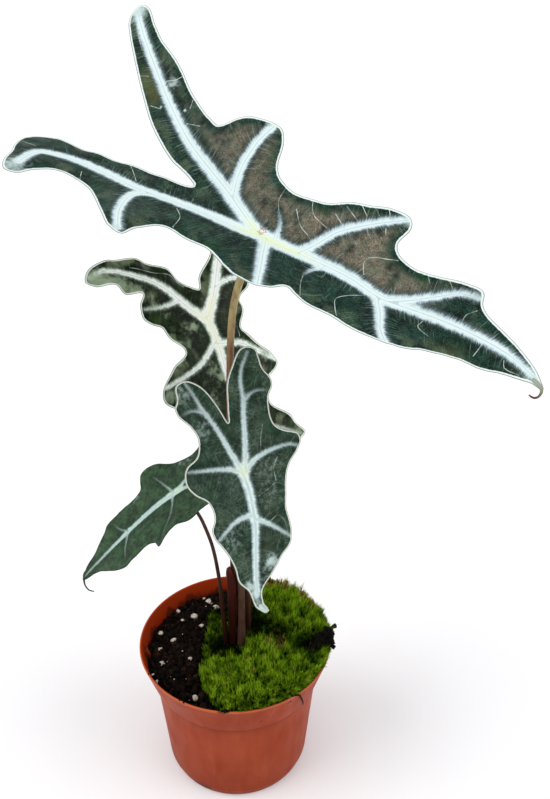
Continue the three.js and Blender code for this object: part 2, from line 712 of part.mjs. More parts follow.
function scrap(moss) {
  const random = seededRandom(19);
  const parts = SCRAP.lumps.map(([x, y, z, size]) => {
    const lump = new THREE.IcosahedronGeometry(size, 1).scale(1.1, 0.85, 0.55 + 0.1 * random());
    lump.rotateZ(3 * random());
    const position = lump.attributes.position;
    for (let k = 0; k < position.count; k++) {
      const [px, py, pz] = [position.getX(k), position.getY(k), position.getZ(k)];
      const bump = 1 + SCRAP.roughness * Math.sin(2.3 * px + 1.7 * py) * Math.cos(1.9 * pz + px);
      position.setXYZ(k, px * bump, py * bump, pz * bump);
    }
    return toSolid(lump.translate(x, y, z));
  });
  for (const [from, to] of SCRAP.stubs) {
    const middle = from.map((value, axis) => 0.5 * (value + to[axis]) + (axis === 2 ? 0.8 : 0));
    const radiusAt = (t) => SCRAP.stubRadius * (0.8 + 0.5 * t * t);
    const stub = stem(curveThrough([from, middle, to]), radiusAt, SCRAP.stubSides, 2 * SCRAP.stubRadius);
    parts.push(toSolid(stub));
  }
  const seat = POT.height + CLEARANCE;
  const rim = new THREE.CylinderGeometry(POT.rimRadius + CLEARANCE, POT.rimRadius + CLEARANCE, 20, 56)
    .rotateX(Math.PI / 2).translate(0, 0, seat - 10);
  let body = parts[0];
  for (const part of parts.slice(1)) {
    body = body.add(part);
  }
  return body.subtract(toSolid(rim)).subtract(moss.translate([0, 0, CLEARANCE]));
}

function piece(name, geometry, colour, roughness) {
  const material = new THREE.MeshStandardMaterial({ color: colour, roughness, metalness: 0 });
  const mesh = new THREE.Mesh(geometry, material);
  mesh.name = name;
  return mesh;
}

const plant = new THREE.Group();
plant.add(piece('pot', buildPot(), 0xa5492f, 0.45));

const buried = [
  rootstock(CLEARANCE),
  cataphyll(CLEARANCE),
  ...Object.keys(PETIOLES).map((name) => petiole(name, CLEARANCE)),
];
let mix = mixBody();
let moss = mossCushion();
for (const solid of [...buried, ...lugs(CLEARANCE)]) {
  mix = mix.subtract(solid);
  moss = moss.subtract(solid);
}
plant.add(piece('potting_mix', toGeometry(mix), 0x1f1815, 0.95));
plant.add(piece('moss_cushion', toGeometry(moss), 0x5a7f1a, 0.95));
plant.add(piece('rootstock', toGeometry(rootstock(0)), 0x6a4a34, 0.8));
plant.add(piece('cataphyll', toGeometry(cataphyll(0)), 0x3f2016, 0.6));
plant.add(piece('bark_scrap', toGeometry(scrap(moss)), 0x17110e, 0.9));

for (const [name, leaf] of Object.entries(LEAVES)) {
  plant.add(piece(`petiole_${name}`, toGeometry(petiole(name, 0)), PETIOLES[name].colour, 0.5));
  const blade = piece(`blade_${name}`, buildBlade(leaf), leaf.colour, 0.35);
  blade.applyMatrix4(leafFrame(leaf));
  plant.add(blade);
}

export default plant;
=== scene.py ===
import math

import bmesh
import bpy
import numpy as np
from mathutils import Matrix, Vector, noise
from mathutils.geometry import delaunay_2d_cdt


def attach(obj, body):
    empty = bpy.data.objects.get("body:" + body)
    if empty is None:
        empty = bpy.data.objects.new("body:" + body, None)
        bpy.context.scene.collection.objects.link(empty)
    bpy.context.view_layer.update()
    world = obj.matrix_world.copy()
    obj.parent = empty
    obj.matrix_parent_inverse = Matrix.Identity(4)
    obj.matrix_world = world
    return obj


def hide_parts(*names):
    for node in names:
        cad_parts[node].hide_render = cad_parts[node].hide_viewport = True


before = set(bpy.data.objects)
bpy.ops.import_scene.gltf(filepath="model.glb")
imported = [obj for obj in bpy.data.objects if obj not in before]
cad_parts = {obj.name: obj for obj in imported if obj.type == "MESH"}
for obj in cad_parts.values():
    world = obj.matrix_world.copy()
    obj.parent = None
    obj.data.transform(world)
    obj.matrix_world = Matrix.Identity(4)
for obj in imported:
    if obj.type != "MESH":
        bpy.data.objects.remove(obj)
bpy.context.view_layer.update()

# The viewpoint
# The plant is seen from in front and above, level with the crown leaf and looking down into the pot.
# Its pictured frame is 550 by 799, and its lens is 900 of those pixels long.
picture_height = 799
lens_pixels = 900
camera_data = bpy.data.cameras.new("viewpoint")
camera_data.sensor_width = 36
camera_data.lens = camera_data.sensor_width * lens_pixels / picture_height
camera = bpy.data.objects.new("viewpoint", camera_data)
camera.location = (0.0248, -0.4229, 0.4961)
camera.rotation_euler = (math.radians(90 - 28.87), 0, 0)
bpy.context.scene.collection.objects.link(camera)
bpy.context.scene.camera = camera

# The pot
# A 12 cm nursery pot, moulded in one piece from terracotta-coloured polypropylene: a thin wall with
# a flared collar and a small round lip, stacking lugs inside the collar and holes in the floor.
MM = 0.001
pot_height = 92
rim_radius = 60
pot_wall = 1.3
lip_radius = 0.65
collar_foot = 68.7
collar_foot_radius = 52.6
ledge = 0.8
shoulder_radius = 51
corner_radius = 45.2
corner_height = 5.5
foot_radius = 43
floor_top = 3
floor_recess = 1.6
boss_radius = 10
bend_low, wall_middle, bend_high, collar_middle = 6.15, 36, 67.25, 80.3
pot_segments = 224
collar_lean = math.atan((rim_radius - collar_foot_radius) / (pot_height - collar_foot))


def tone(red, green, blue):
    """A colour given as it looks, 0 to 255, turned into the light that it sends back."""
    shares = [value / 255 for value in (red, green, blue)]
    return [s / 12.92 if s <= 0.04045 else ((s + 0.055) / 1.055) ** 2.4 for s in shares] + [1]


class Finish:
    """One procedural finish: a shader, and the nodes that colour, roughen and emboss it."""

    def __init__(self, name, roughness, specular=0.5):
        self.material = bpy.data.materials.new(name)
        self.material.use_nodes = True
        self.tree = self.material.node_tree
        self.shader = self.tree.nodes["Principled BSDF"]
        self.shader.inputs["Roughness"].default_value = roughness
        self.shader.inputs["Specular IOR Level"].default_value = specular

    def set(self, socket, value):
        if isinstance(value, Value):
            self.tree.links.new(value.socket, socket)
        else:
            socket.default_value = value

    def node(self, kind, values, output=0, **settings):
        """One step of the finish, and the value that comes out of it."""
        made = self.tree.nodes.new("ShaderNode" + kind)
        for key, value in settings.items():
            setattr(made, key, value)
        for key, value in values.items():
            self.set(made.inputs[key], value)
        return Value(self, made.outputs[output])

    def place(self):
        """Where a point lies in the part, in millimetres."""
        source = self.node("TexCoord", {}, "Object")
        return self.node("VectorMath", {0: source, 3: 1000}, operation="SCALE")

    def mark(self, name, output="Fac"):
        """A value painted on the points of the piece, or with "Vector" a place."""
        return self.node("Attribute", {}, output, attribute_name=name)

    def together(self, x, y, z):
        return self.node("CombineXYZ", {0: x, 1: y, 2: z})

    def blend(self, share, a, b):
        """Colour a where share is 0, and b where it is 1."""
        return self.node("Mix", {0: share, 6: a, 7: b}, 2, data_type="RGBA")

    def colour(self, value):
        self.set(self.shader.inputs["Base Color"], value)

    def roughness(self, value):
        self.set(self.shader.inputs["Roughness"], value)

    def emboss(self, height, depth):
        """Bumps of that depth, in millimetres, where height goes from 0 to 1."""
        bump = self.node("Bump", {"Height": height, "Distance": depth * MM, "Strength": 1}, "Normal")
        self.set(self.shader.inputs["Normal"], bump)


class Value:
    """A number, a place or a colour that a finish works out for each point of its surface."""

    def __init__(self, finish, socket):
        self.finish = finish
        self.socket = socket

    def reckon(self, operation, other=0):
        return self.finish.node("Math", {0: self, 1: other}, operation=operation)

    def __add__(self, other):
        return self.reckon("ADD", other)

    def __sub__(self, other):
        return self.reckon("SUBTRACT", other)

    def __mul__(self, other):
        return self.reckon("MULTIPLY", other)

    def __abs__(self):
        return self.reckon("ABSOLUTE")

    def cosine(self):
        return self.reckon("COSINE")

    def most(self, other):
        """The greater of this value and another."""
        return self.reckon("MAXIMUM", other)

    def ease(self, low, high, start=0, end=1):
        """start where the value is low, end where it is high, and a smooth change between."""
        values = {"Value": self, "From Min": low, "From Max": high, "To Min": start, "To Max": end}
        return self.finish.node("MapRange", values, "Result", interpolation_type="SMOOTHSTEP")

    def coat(self, share, colour):
        """This colour, covered by another as far as share says."""
        return self.finish.blend(share, self, colour)

    def stretch(self, x, y, z):
        return self.finish.node("VectorMath", {0: self, 1: (x, y, z)}, operation="MULTIPLY")

    def away_from(self, point):
        return self.finish.node("VectorMath", {0: self, 1: point}, operation="SUBTRACT")

    def length(self):
        return self.finish.node("VectorMath", {0: self}, "Value", operation="LENGTH")

    def height(self):
        return self.finish.node("SeparateXYZ", {0: self}, "Z")

    def grain(self, size, detail=3, rough=0.55):
        """Soft noise from 0 to 1 over a place, with lumps of that size."""
        values = {"Vector": self, "Scale": 1 / size, "Detail": detail, "Roughness": rough}
        return self.finish.node("TexNoise", values, "Fac")

    def cells(self, size, feature="F1"):
        """Distance to the nearest of many scattered spots, or to the seams between their cells."""
        values = {"Vector": self, "Scale": 1 / size}
        return self.finish.node("TexVoronoi", values, "Distance", feature=feature)


def piece(name, points, faces, finish, marks=None, smooth=True):
    """A mesh from points in millimetres, with values painted on its points."""
    mesh = bpy.data.meshes.new(name)
    points = np.asarray(points, float)
    mesh.from_pydata((points * MM).tolist(), [], [list(face) for face in faces])
    mesh.polygons.foreach_set("use_smooth", [smooth] * len(mesh.polygons))
    for key, values in (marks or {}).items():
        values = np.asarray(values, np.float32)
        if values.ndim == 1:
            mesh.attributes.new(key, "FLOAT", "POINT").data.foreach_set("value", values)
        else:
            mesh.attributes.new(key, "FLOAT_VECTOR", "POINT").data.foreach_set("vector", values.ravel())
    mesh.materials.append(finish.material)
    made = bpy.data.objects.new(name, mesh)
    bpy.context.scene.collection.objects.link(made)
    return made


def eased(corners, ease, steps=5):
    """A profile with each of its corners rounded off."""
    corners = np.asarray(corners, float)
    rounded = [corners[0]]
    for before, corner, after in zip(corners, corners[1:], corners[2:]):
        back, ahead = before - corner, after - corner
        start = corner + back * min(ease / np.linalg.norm(back), 0.45)
        end = corner + ahead * min(ease / np.linalg.norm(ahead), 0.45)
        for t in np.linspace(0, 1, steps):
            rounded.append((1 - t) ** 2 * start + 2 * t * (1 - t) * corner + t * t * end)
    rounded.append(corners[-1])
    return np.array(rounded)


def turned(profile, segments):
    """Points and faces of a profile of [radius, height], from axis to axis, turned about the axis."""
    angles = np.linspace(0, 2 * math.pi, segments, endpoint=False)
    points = [(0, 0, profile[0][1])]
    for radius, height in profile[1:-1]:
        points.extend((radius * math.cos(a), radius * math.sin(a), height) for a in angles)
    points.append((0, 0, profile[-1][1]))
    faces = []
    last = len(points) - 1
    rings = len(profile) - 2
    for k in range(segments):
        n = (k + 1) % segments
        faces.append((0, 1 + n, 1 + k))
        for ring in range(rings - 1):
            a = 1 + ring * segments
            b = a + segments
            faces.append((a + k, a + n, b + n, b + k))
        faces.append((1 + (rings - 1) * segments + k, 1 + (rings - 1) * segments + n, last))
    return points, faces


def carve(body, tool, operation):
    """Joins a tool to a body, or cuts it out, and throws the tool away."""
    step = body.modifiers.new("carve", "BOOLEAN")
    step.operation = operation
    step.solver = "EXACT"
    step.object = tool
    graph = bpy.context.evaluated_depsgraph_get()
    body.data = bpy.data.meshes.new_from_object(body.evaluated_get(graph))
    body.modifiers.clear()
    bpy.data.objects.remove(tool)


def inner_radius(z):
    """Radius of the inside of the pot at a height."""
    half_wall = pot_wall / 2
    heights = [floor_top, bend_low, bend_high, collar_foot, pot_height]
    radii = [foot_radius - half_wall, corner_radius - pot_wall, shoulder_radius - pot_wall,
             collar_foot_radius - pot_wall, rim_radius - pot_wall]
    return np.interp(z, heights, radii)


pot_finish = Finish("terracotta polypropylene", 0.55, 0.07)
place = pot_finish.place()
height = place.height()
inside = pot_finish.mark("inside")
cloud = place.grain(30)
flow = place.stretch(1, 1, 0.4).grain(9, 4)
skin = pot_finish.blend(cloud.ease(0.3, 0.7), tone(142, 54, 26), tone(156, 66, 36))
band = place.stretch(1, 1, 0.12).grain(6, 3)
skin = skin.coat(band.ease(0.5, 0.75, 0, 0.4), tone(132, 44, 20))
skin = skin.coat(band.ease(0.45, 0.25, 0, 0.3), tone(176, 88, 58))
skin = skin.coat(flow.ease(0.5, 0.8, 0, 0.3), tone(130, 44, 22))
# Painted highlight: the top of the lip is painted lighter, where light catches its rounded edge.
painted_lip_highlight = height.ease(pot_height - 2.4, pot_height - 0.3, 0, 0.8)
skin = skin.coat(painted_lip_highlight, tone(190, 98, 62))
skin = skin.coat(height.ease(52, 4, 0, 0.45), tone(124, 46, 20))
# Painted shade: a soft dark band on the wall just under the collar's ledge.
painted_ledge_shade = height.ease(62, 67.6) * height.ease(69, 67.8, 0, 0.3)
skin = skin.coat(painted_ledge_shade, tone(92, 34, 22))
# Painted shade and glow: the inside of the wall is painted darker and redder, as shade inside the pot with
# light shining red through the thin wall, and lighter towards the rim.
inner_shade_and_glow = pot_finish.blend(height.ease(78, 92), tone(122, 29, 1), tone(150, 46, 10))
skin = skin.coat(inside, inner_shade_and_glow)
scuff = place.stretch(1, 1, 3).grain(2.2, 5, 0.7).ease(0.66, 0.74, 0, 0.3)
skin = skin.coat(scuff, tone(190, 112, 84))
dirt = place.cells(7).ease(0.1, 0.03, 0, 0.75)
dirt = dirt * place.grain(22).ease(0.52, 0.62)
soil_line = (height + flow.ease(0.3, 0.7, -4, 4)).ease(86, 82, 0, 0.7)
dirt = dirt.most(inside * soil_line)
skin = skin.coat(dirt, tone(40, 22, 12))
stains = [
    ((-56.5, -6, 82), (3.2, 5, 9), 0.8), ((-20.8, -39.6, 4), (7, 7, 2.6), 0.75),
    ((-26, -36, 3), (4, 4, 1.6), 0.7), ((33.4, -49.2, 88), (1.6, 1.6, 1.2), 0.7),
    ((-30, -50, 86.5), (5, 5, 1.4), 0.35), ((-5, -59, 91), (5, 2, 1.2), 0.6),
]
for centre, reach, strength in stains:
    away = place.away_from(centre).stretch(*(1 / size for size in reach)).length()
    away = away + place.grain(1.6, 4).ease(0.3, 0.7, -0.5, 0.5)
    skin = skin.coat(away.ease(1.1, 0.5, 0, strength), tone(44, 34, 14))
pot_finish.colour(skin)
pot_finish.roughness(flow.ease(0.3, 0.7, 0.42, 0.56))
pot_finish.emboss(place.grain(0.9) + cloud, 0.12)

outside_wall = [
    (0, 0), (boss_radius, 0), (boss_radius + 1.1, floor_recess), (36.9, floor_recess), (38, 0),
    (foot_radius, 0), (corner_radius, corner_height), (48, wall_middle),
    (shoulder_radius, collar_foot - ledge), (collar_foot_radius, collar_foot),
    (56.3, collar_middle), (rim_radius - 0.25, pot_height - 1),
    (rim_radius - 0.1, pot_height), (rim_radius - pot_wall, pot_height),
]
inside_heights = (90.5, collar_middle, collar_foot, bend_high, wall_middle, bend_low, floor_top)
inside_wall = [(float(inner_radius(z)), z) for z in inside_heights]
profile = eased(outside_wall + inside_wall + [(0, floor_top)], lip_radius)
points, faces = turned(profile, pot_segments)
pot = piece("nursery_pot", points, faces, pot_finish)

lug_count = 3
lug_first_angle = 186
lug_width = 4
lug_proud = 2.2
lug_bottom, lug_top = 72, 88
lug_depth = lug_proud + pot_wall / 2
lug_middle = (lug_bottom + lug_top) / 2
lug_round = 0.5
for index in range(lug_count):
    bpy.ops.mesh.primitive_cube_add(size=1)
    lug = bpy.context.object
    shape = Matrix.Diagonal((lug_depth * MM, lug_width * MM, (lug_top - lug_bottom) * MM, 1))
    shape = Matrix.Translation(((pot_wall - lug_depth) / 2 * MM, 0, 0)) @ shape
    lean = Matrix.Rotation(collar_lean, 4, "Y")
    seat = Matrix.Translation((float(inner_radius(lug_middle)) * MM, 0, lug_middle * MM))
    turn = Matrix.Rotation(math.radians(lug_first_angle + 360 / lug_count * index), 4, "Z")
    lug.data.transform(turn @ seat @ lean @ shape)
    bevel = lug.modifiers.new("round", "BEVEL")
    bevel.width = lug_round * MM
    bevel.segments = 3
    carve(pot, lug, "UNION")

nub_angle = math.radians(-72)
nub_height = 76.5
nub_halves = (0.7, 0.8, 1.7)
nub_radius = float(np.interp(nub_height, [collar_foot, pot_height], [collar_foot_radius, rim_radius]))
bpy.ops.mesh.primitive_uv_sphere_add(segments=24, ring_count=14, radius=1)
nub = bpy.context.object
seat = Matrix.Translation((nub_radius * MM, 0, nub_height * MM))
shape = Matrix.Diagonal((nub_halves[0] * MM, nub_halves[1] * MM, nub_halves[2] * MM, 1))
nub.data.transform(seat @ Matrix.Rotation(collar_lean, 4, "Y") @ shape)
nub.data.transform(Matrix.Rotation(nub_angle, 4, "Z"))
carve(pot, nub, "UNION")

hole_count = 8
hole_radius = 3.5
hole_circle = 26
for index in range(hole_count):
    angle = 2 * math.pi * (index + 0.5) / hole_count
    spot = (hole_circle * MM * math.cos(angle), hole_circle * MM * math.sin(angle), 0)
    depth = 4 * floor_top * MM
    bpy.ops.mesh.primitive_cylinder_add(vertices=40, radius=hole_radius * MM, depth=depth, location=spot)
    carve(pot, bpy.context.object, "DIFFERENCE")

pot.data.materials.clear()
pot.data.materials.append(pot_finish.material)
for polygon in pot.data.polygons:
    polygon.use_smooth = True
pot.data.set_sharp_from_angle(angle=math.radians(40))
lined = pot.data.attributes.new("inside", "FLOAT", "POINT")
for vertex, value in zip(pot.data.vertices, lined.data):
    x, y, z = vertex.co / MM
    value.value = float(z > floor_top - 0.5 and math.hypot(x, y) < inner_radius(z) + 0.4)
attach(pot, "root")
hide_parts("pot")

# The potting mix
# Peat and fine bark with grains of perlite, filled to a finger's breadth below the
# rim. Its bare part is crumbly; where the moss lies it is flat. Crumbs cling to the pot above it.
mix_level = 81.5
mix_relief = 1.5
wall_gap = 0.35
moss_edge = np.array([
    (12, 53), (3, 46), (-7, 40), (-15, 34), (-19, 27), (-18, 16), (-20, 4), (-20, -10), (-21, -23),
    (-18, -37), (-12, -47), (-5, -54),
], float)


def smooth_share(value, low, high):
    """0 below low, 1 above high, and a smooth change between."""
    t = np.clip((value - low) / (high - low), 0, 1)
    return t * t * (3 - 2 * t)


def through(points, step):
    """Evenly spaced points on a smooth curve through a few, in two or three dimensions."""
    points = np.asarray(points, float)
    ends = [2 * points[0] - points[1], *points, 2 * points[-1] - points[-2]]
    fine = []
    for p0, p1, p2, p3 in zip(ends, ends[1:], ends[2:], ends[3:]):
        t0, t1, t2 = (max(np.linalg.norm(b - a) ** 0.5, 1e-4) for a, b in ((p0, p1), (p1, p2), (p2, p3)))
        m1 = ((p1 - p0) / t0 - (p2 - p0) / (t0 + t1) + (p2 - p1) / t1) * t1
        m2 = ((p2 - p1) / t1 - (p3 - p1) / (t1 + t2) + (p3 - p2) / t2) * t1
        for t in np.linspace(0, 1, 24, endpoint=False):
            fine.append((2 * t**3 - 3 * t * t + 1) * p1 + (t**3 - 2 * t * t + t) * m1
                        + (3 * t * t - 2 * t**3) * p2 + (t**3 - t * t) * m2)
    fine = np.array(fine + [points[-1]])
    run = np.concatenate([[0], np.cumsum(np.linalg.norm(np.diff(fine, axis=0), axis=1))])
    at = np.linspace(0, run[-1], max(3, round(run[-1] / step) + 1))
    return np.stack([np.interp(at, run, fine[:, axis]) for axis in range(fine.shape[1])], axis=1)


def from_line(spots, line):
    """For each spot: how far it lies from a line of points, on which side, and how far along."""
    best = np.full(len(spots), np.inf)
    side = np.ones(len(spots))
    along = np.zeros(len(spots))
    run = 0
    for a, b in zip(line[:-1], line[1:]):
        way = b - a
        length = np.linalg.norm(way)
        t = np.clip(((spots - a) @ way) / max(length**2, 1e-9), 0, 1)
        gap = np.linalg.norm(spots - a - t[:, None] * way, axis=1)
        nearer = gap < best
        turn = way[0] * (spots[:, 1] - a[1]) - way[1] * (spots[:, 0] - a[0])
        best = np.where(nearer, gap, best)
        side = np.where(nearer, np.sign(turn), side)
        along = np.where(nearer, run + t * length, along)
        run += length
    return best, side, along


moss_line = through(moss_edge, 2.5)


def inside_moss(spots):
    """How far each spot lies inside the edge of the moss; negative on the bare side."""
    gap, side, _ = from_line(spots, moss_line)
    return gap * side


def rough(spots, size, seed=0, octaves=3):
    """Noise from -1 to 1 at each spot, with lumps of that size."""
    shift = Vector((seed * 7.3, seed * 3.1, seed * 5.7))
    full = np.zeros((len(spots), 3))
    full[:, :spots.shape[1]] = spots / size
    return np.array([noise.fractal(Vector(p) + shift, 0.6, 2.1, octaves) for p in full])


def hump(spots, x, y, reach):
    """1 at a place, and a smooth fall to nothing round it."""
    return np.exp(-((spots[:, 0] - x) ** 2 + (spots[:, 1] - y) ** 2) / reach**2)


def mix_top(spots):
    x, y = spots[:, 0], spots[:, 1]
    bare = smooth_share(-inside_moss(spots), 1, 8) * (1 - smooth_share(np.hypot(x, y), 46, 54))
    waves = np.sin(x / 3.4 + y / 5.1) + np.cos(y / 3.7 - x / 6.3)
    return mix_level + 0.5 * mix_relief * bare * waves


def lumps(centres, sizes, detail, rng, rugged=0.3, flatness=0.8):
    """Points and triangles of many rough, turned lumps."""
    seed_ball = bmesh.new()
    bmesh.ops.create_icosphere(seed_ball, subdivisions=detail, radius=1)
    seed_ball.verts.ensure_lookup_table()
    ball = np.array([v.co for v in seed_ball.verts])
    triangles = np.array([[v.index for v in f.verts] for f in seed_ball.faces])
    seed_ball.free()
    count = len(centres)
    turns = rng.normal(size=(count, 4))
    turns /= np.linalg.norm(turns, axis=1)[:, None]
    w, x, y, z = turns.T
    rotation = np.stack([
        1 - 2 * (y * y + z * z), 2 * (x * y - w * z), 2 * (x * z + w * y),
        2 * (x * y + w * z), 1 - 2 * (x * x + z * z), 2 * (y * z - w * x),
        2 * (x * z - w * y), 2 * (y * z + w * x), 1 - 2 * (x * x + y * y)], axis=1).reshape(-1, 3, 3)
    squash = 1 + rng.uniform(-0.25, 0.25, size=(count, 1, 3))
    squash[:, :, 2] *= flatness
    swell = 1 + rugged * rng.uniform(-1, 1, size=(count, len(ball), 1))
    points = (ball[None] * swell * squash) @ rotation * np.asarray(sizes)[:, None, None]
    points = points + np.asarray(centres)[:, None]
    faces = triangles[None] + (np.arange(count) * len(ball))[:, None, None]
    return points.reshape(-1, 3), faces.reshape(-1, 3), np.repeat(np.arange(count), len(ball))


mix_finish = Finish("peat and bark", 0.95, 0.08)
place = mix_finish.place()
crumb = mix_finish.mark("crumb")
earth = mix_finish.blend(place.grain(2.4, 5).ease(0.35, 0.7), tone(6, 4, 3), tone(25, 16, 10))
chip = mix_finish.blend(place.grain(0.7, 2).ease(0.4, 0.7), tone(16, 10, 7), tone(66, 43, 30))
earth = earth.coat(crumb.ease(0.62, 1), chip)
mix_finish.colour(earth)
mix_finish.emboss(place.grain(0.8, 5, 0.7), 0.5)

rng = np.random.default_rng(11)
mix_radius = float(inner_radius(mix_level)) - wall_gap
ring_step = 1.0
ring_count = round(mix_radius / ring_step)
wall_heights = (floor_top + wall_gap, bend_low, wall_middle, bend_high, collar_foot, 76)
dip_depth = 2.2
dip = (-25, -38, 12)
under_wall = [(float(inner_radius(z)) - wall_gap, z) for z in wall_heights]
top_rings = [(mix_radius * (1 - k / ring_count), mix_level) for k in range(ring_count)]
points, faces = turned([(0, floor_top + wall_gap)] + under_wall + top_rings + [(0, mix_level)], 300)
points = np.array(points)
top = points[:, 2] > mix_level - 0.01
spots = points[top, :2]
bare = smooth_share(-inside_moss(spots), 0, 5)
relief = 0.9 * rough(spots, 5.5, 1) + 0.5 * rough(spots, 1.9, 2, 4)
points[top, 2] = mix_top(spots) + bare * relief - dip_depth * hump(spots, *dip)
mix_bed = piece("potting_mix_bed", points, faces, mix_finish, {"crumb": np.zeros(len(points))})


def scatter(low, high, tries, most, under_moss, off_wall):
    """Random spots on the mix, at most so far under the moss and at least so far off the wall."""
    spots = rng.uniform(low, high, size=(tries, 2))
    keep = (inside_moss(spots) < under_moss) & (np.hypot(*spots.T) < mix_radius - off_wall)
    return spots[keep][:most]


crumb_count = 2300
spots = scatter((-55, -56), (8, 56), 3 * crumb_count, crumb_count, 1, 0.3)
sizes = 0.4 + 1.7 * rng.random(len(spots)) ** 3
level = mix_top(spots) + smooth_share(-inside_moss(spots), 0, 5) * 0.9 * rough(spots, 5.5, 1)
level -= dip_depth * hump(spots, *dip)
centres = np.column_stack([spots, level + 0.25 * sizes])
big = sizes > 0.8
points, faces, owner = lumps(centres[big], sizes[big], 2, rng, 0.34)
small_points, small_faces, small_owner = lumps(centres[~big], sizes[~big], 1, rng, 0.25)
shades = rng.random(len(spots))
chip_count = 95
chip_spots = scatter((-54, -54), (-8, 54), 4 * chip_count, chip_count, -1, 2)
chip_sizes = rng.uniform(1.2, 3.2, len(chip_spots))
chip_level = mix_top(chip_spots) + 0.9 * rough(chip_spots, 5.5, 1) + 0.1 * chip_sizes
chip_centres = np.column_stack([chip_spots, chip_level])
chip_points, chip_faces, chip_owner = lumps(chip_centres, chip_sizes, 3, rng, 0.04, 0.45)
chip_points += 0.35 * np.column_stack([rough(chip_points, 1.6, seed) for seed in (5, 6, 7)])
chip_shades = 0.3 + 0.6 * rng.random(len(chip_spots))[chip_owner] ** 2
marks = np.concatenate([shades[:big.sum()][owner], shades[big.sum():][small_owner], chip_shades])
faces = np.vstack([faces, small_faces + len(points), chip_faces + len(points) + len(small_points)])
points = np.vstack([points, small_points, chip_points])


def round_pot(radius, degrees, z):
    """A place so far from the axis of the pot, in a direction counted from the right."""
    return radius * math.cos(math.radians(degrees)), radius * math.sin(math.radians(degrees)), z


lip_crumbs = [
    (59.3, -92, 92.5, 0.8), (59.4, -93.6, 92.7, 1.1), (59.2, -95.2, 92.5, 0.9), (58.9, -97.2, 92.3, 0.6),
    (59.5, -118, 92.2, 0.5), (59.3, -121, 92.2, 0.4), (58.9, -55, 88.6, 0.6), (58.4, -57, 87.6, 0.4),
    (59.3, -149, 92.2, 0.5),
]
centres = [round_pot(*crumb[:3]) for crumb in lip_crumbs]
lip_points, lip_faces, _ = lumps(centres, [crumb[3] for crumb in lip_crumbs], 2, rng, 0.2)
faces = np.vstack([faces, lip_faces + len(points)])
marks = np.concatenate([marks, np.full(len(lip_points), 0.3)])
points = np.vstack([points, lip_points])
mix_crumbs = piece("potting_mix_crumbs", points, faces, mix_finish, {"crumb": marks})

perlite_finish = Finish("perlite", 0.85, 0.3)
place = perlite_finish.place()
stain = place.grain(1.1, 4).ease(0.42, 0.7)
perlite_finish.colour(perlite_finish.blend(stain, tone(212, 200, 186), tone(150, 130, 114)))
perlite_finish.emboss(place.grain(0.5, 3), 0.35)
large_grains = np.array([
    (-39.7, 34.6, 1.2), (-28.7, 29, 1.9), (-35.7, 24.6, 1.2), (-20.3, 43.9, 1.8), (-14.5, 38, 1.7),
    (-23.2, 21.1, 1.6), (-49.2, 13.8, 1.4), (-39.9, 6.3, 1.6), (-47.7, -0.2, 1.4), (-34.3, -2.1, 0.9),
    (-28.4, -8.1, 1.1), (-45.6, -12.4, 1.3), (-43.4, -13.2, 0.9), (-50.4, -21.9, 1.1), (-47, -27.1, 0.9),
    (-22.8, -40.1, 1.8), (-23.3, 46.9, 1), (-17.6, 41, 1.3),
])
small_grains = scatter((-54, -52), (-14, 50), 120, 34, -1.5, 1)
spots = np.vstack([large_grains[:, :2], small_grains])
sizes = np.concatenate([1.25 * large_grains[:, 2], rng.uniform(0.25, 0.65, size=len(small_grains))])
level = mix_top(spots) + 0.9 * rough(spots, 5.5, 1) + 0.45 * sizes
points, faces, owner = lumps(np.column_stack([spots, level]), sizes, 3, rng, 0.05, 0.9)
swell = 1 + 0.22 * rough(points, 1.1, 4)
middle = np.column_stack([spots, level])[owner]
perlite = piece("perlite_grains", middle + (points - middle) * swell[:, None], faces, perlite_finish)
for made in (mix_bed, mix_crumbs, perlite):
    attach(made, "root")
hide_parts("potting_mix")

# The moss
# A living cushion of upright moss, laid over two thirds of the mix and grown to the wall and a little
# over the rim at the right. Each shoot is a tuft of hair-fine leaves, dark below and bright at the tips.
moss_least = 2
moss_rim_height = 2.4
moss_rise = 6.2
moss_rise_length = 22
moss_tilt = 0.045
moss_lump = 0.9
moss_hollow_depth = 3.4
moss_hollow = (3, 6, 12)
shoot_height = 6.4


def moss_top(spots):
    x, y = spots[:, 0], spots[:, 1]
    rise = moss_rise * smooth_share(inside_moss(spots), 0, moss_rise_length)
    bumps = np.sin(x / 4.3 + 0.6) * np.sin(y / 4.9 + 1.1) + 0.5 * np.sin(x / 2.9 - y / 3.4)
    hollow = moss_hollow_depth * hump(spots, *moss_hollow)
    height = moss_rim_height + rise + moss_tilt * x + moss_lump * bumps - hollow
    return mix_level + np.maximum(moss_least, height)


moss_finish = Finish("moss", 0.8, 0.03)
place = moss_finish.place()
tip = moss_finish.mark("tip")
shade = moss_finish.mark("shade")
dry = moss_finish.mark("dry")
green = moss_finish.blend(shade, tone(60, 106, 4), tone(174, 214, 42))
# Each shoot runs from a near-black foot to a bright tip: partly the moss's own older growth, partly painted
# shade deep in the cushion.
green = moss_finish.blend(tip.ease(0.1, 1), tone(8, 20, 1), green)
straw = moss_finish.blend(tip, tone(66, 46, 20), tone(176, 152, 78))
moss_finish.colour(moss_finish.blend(dry, green, straw))

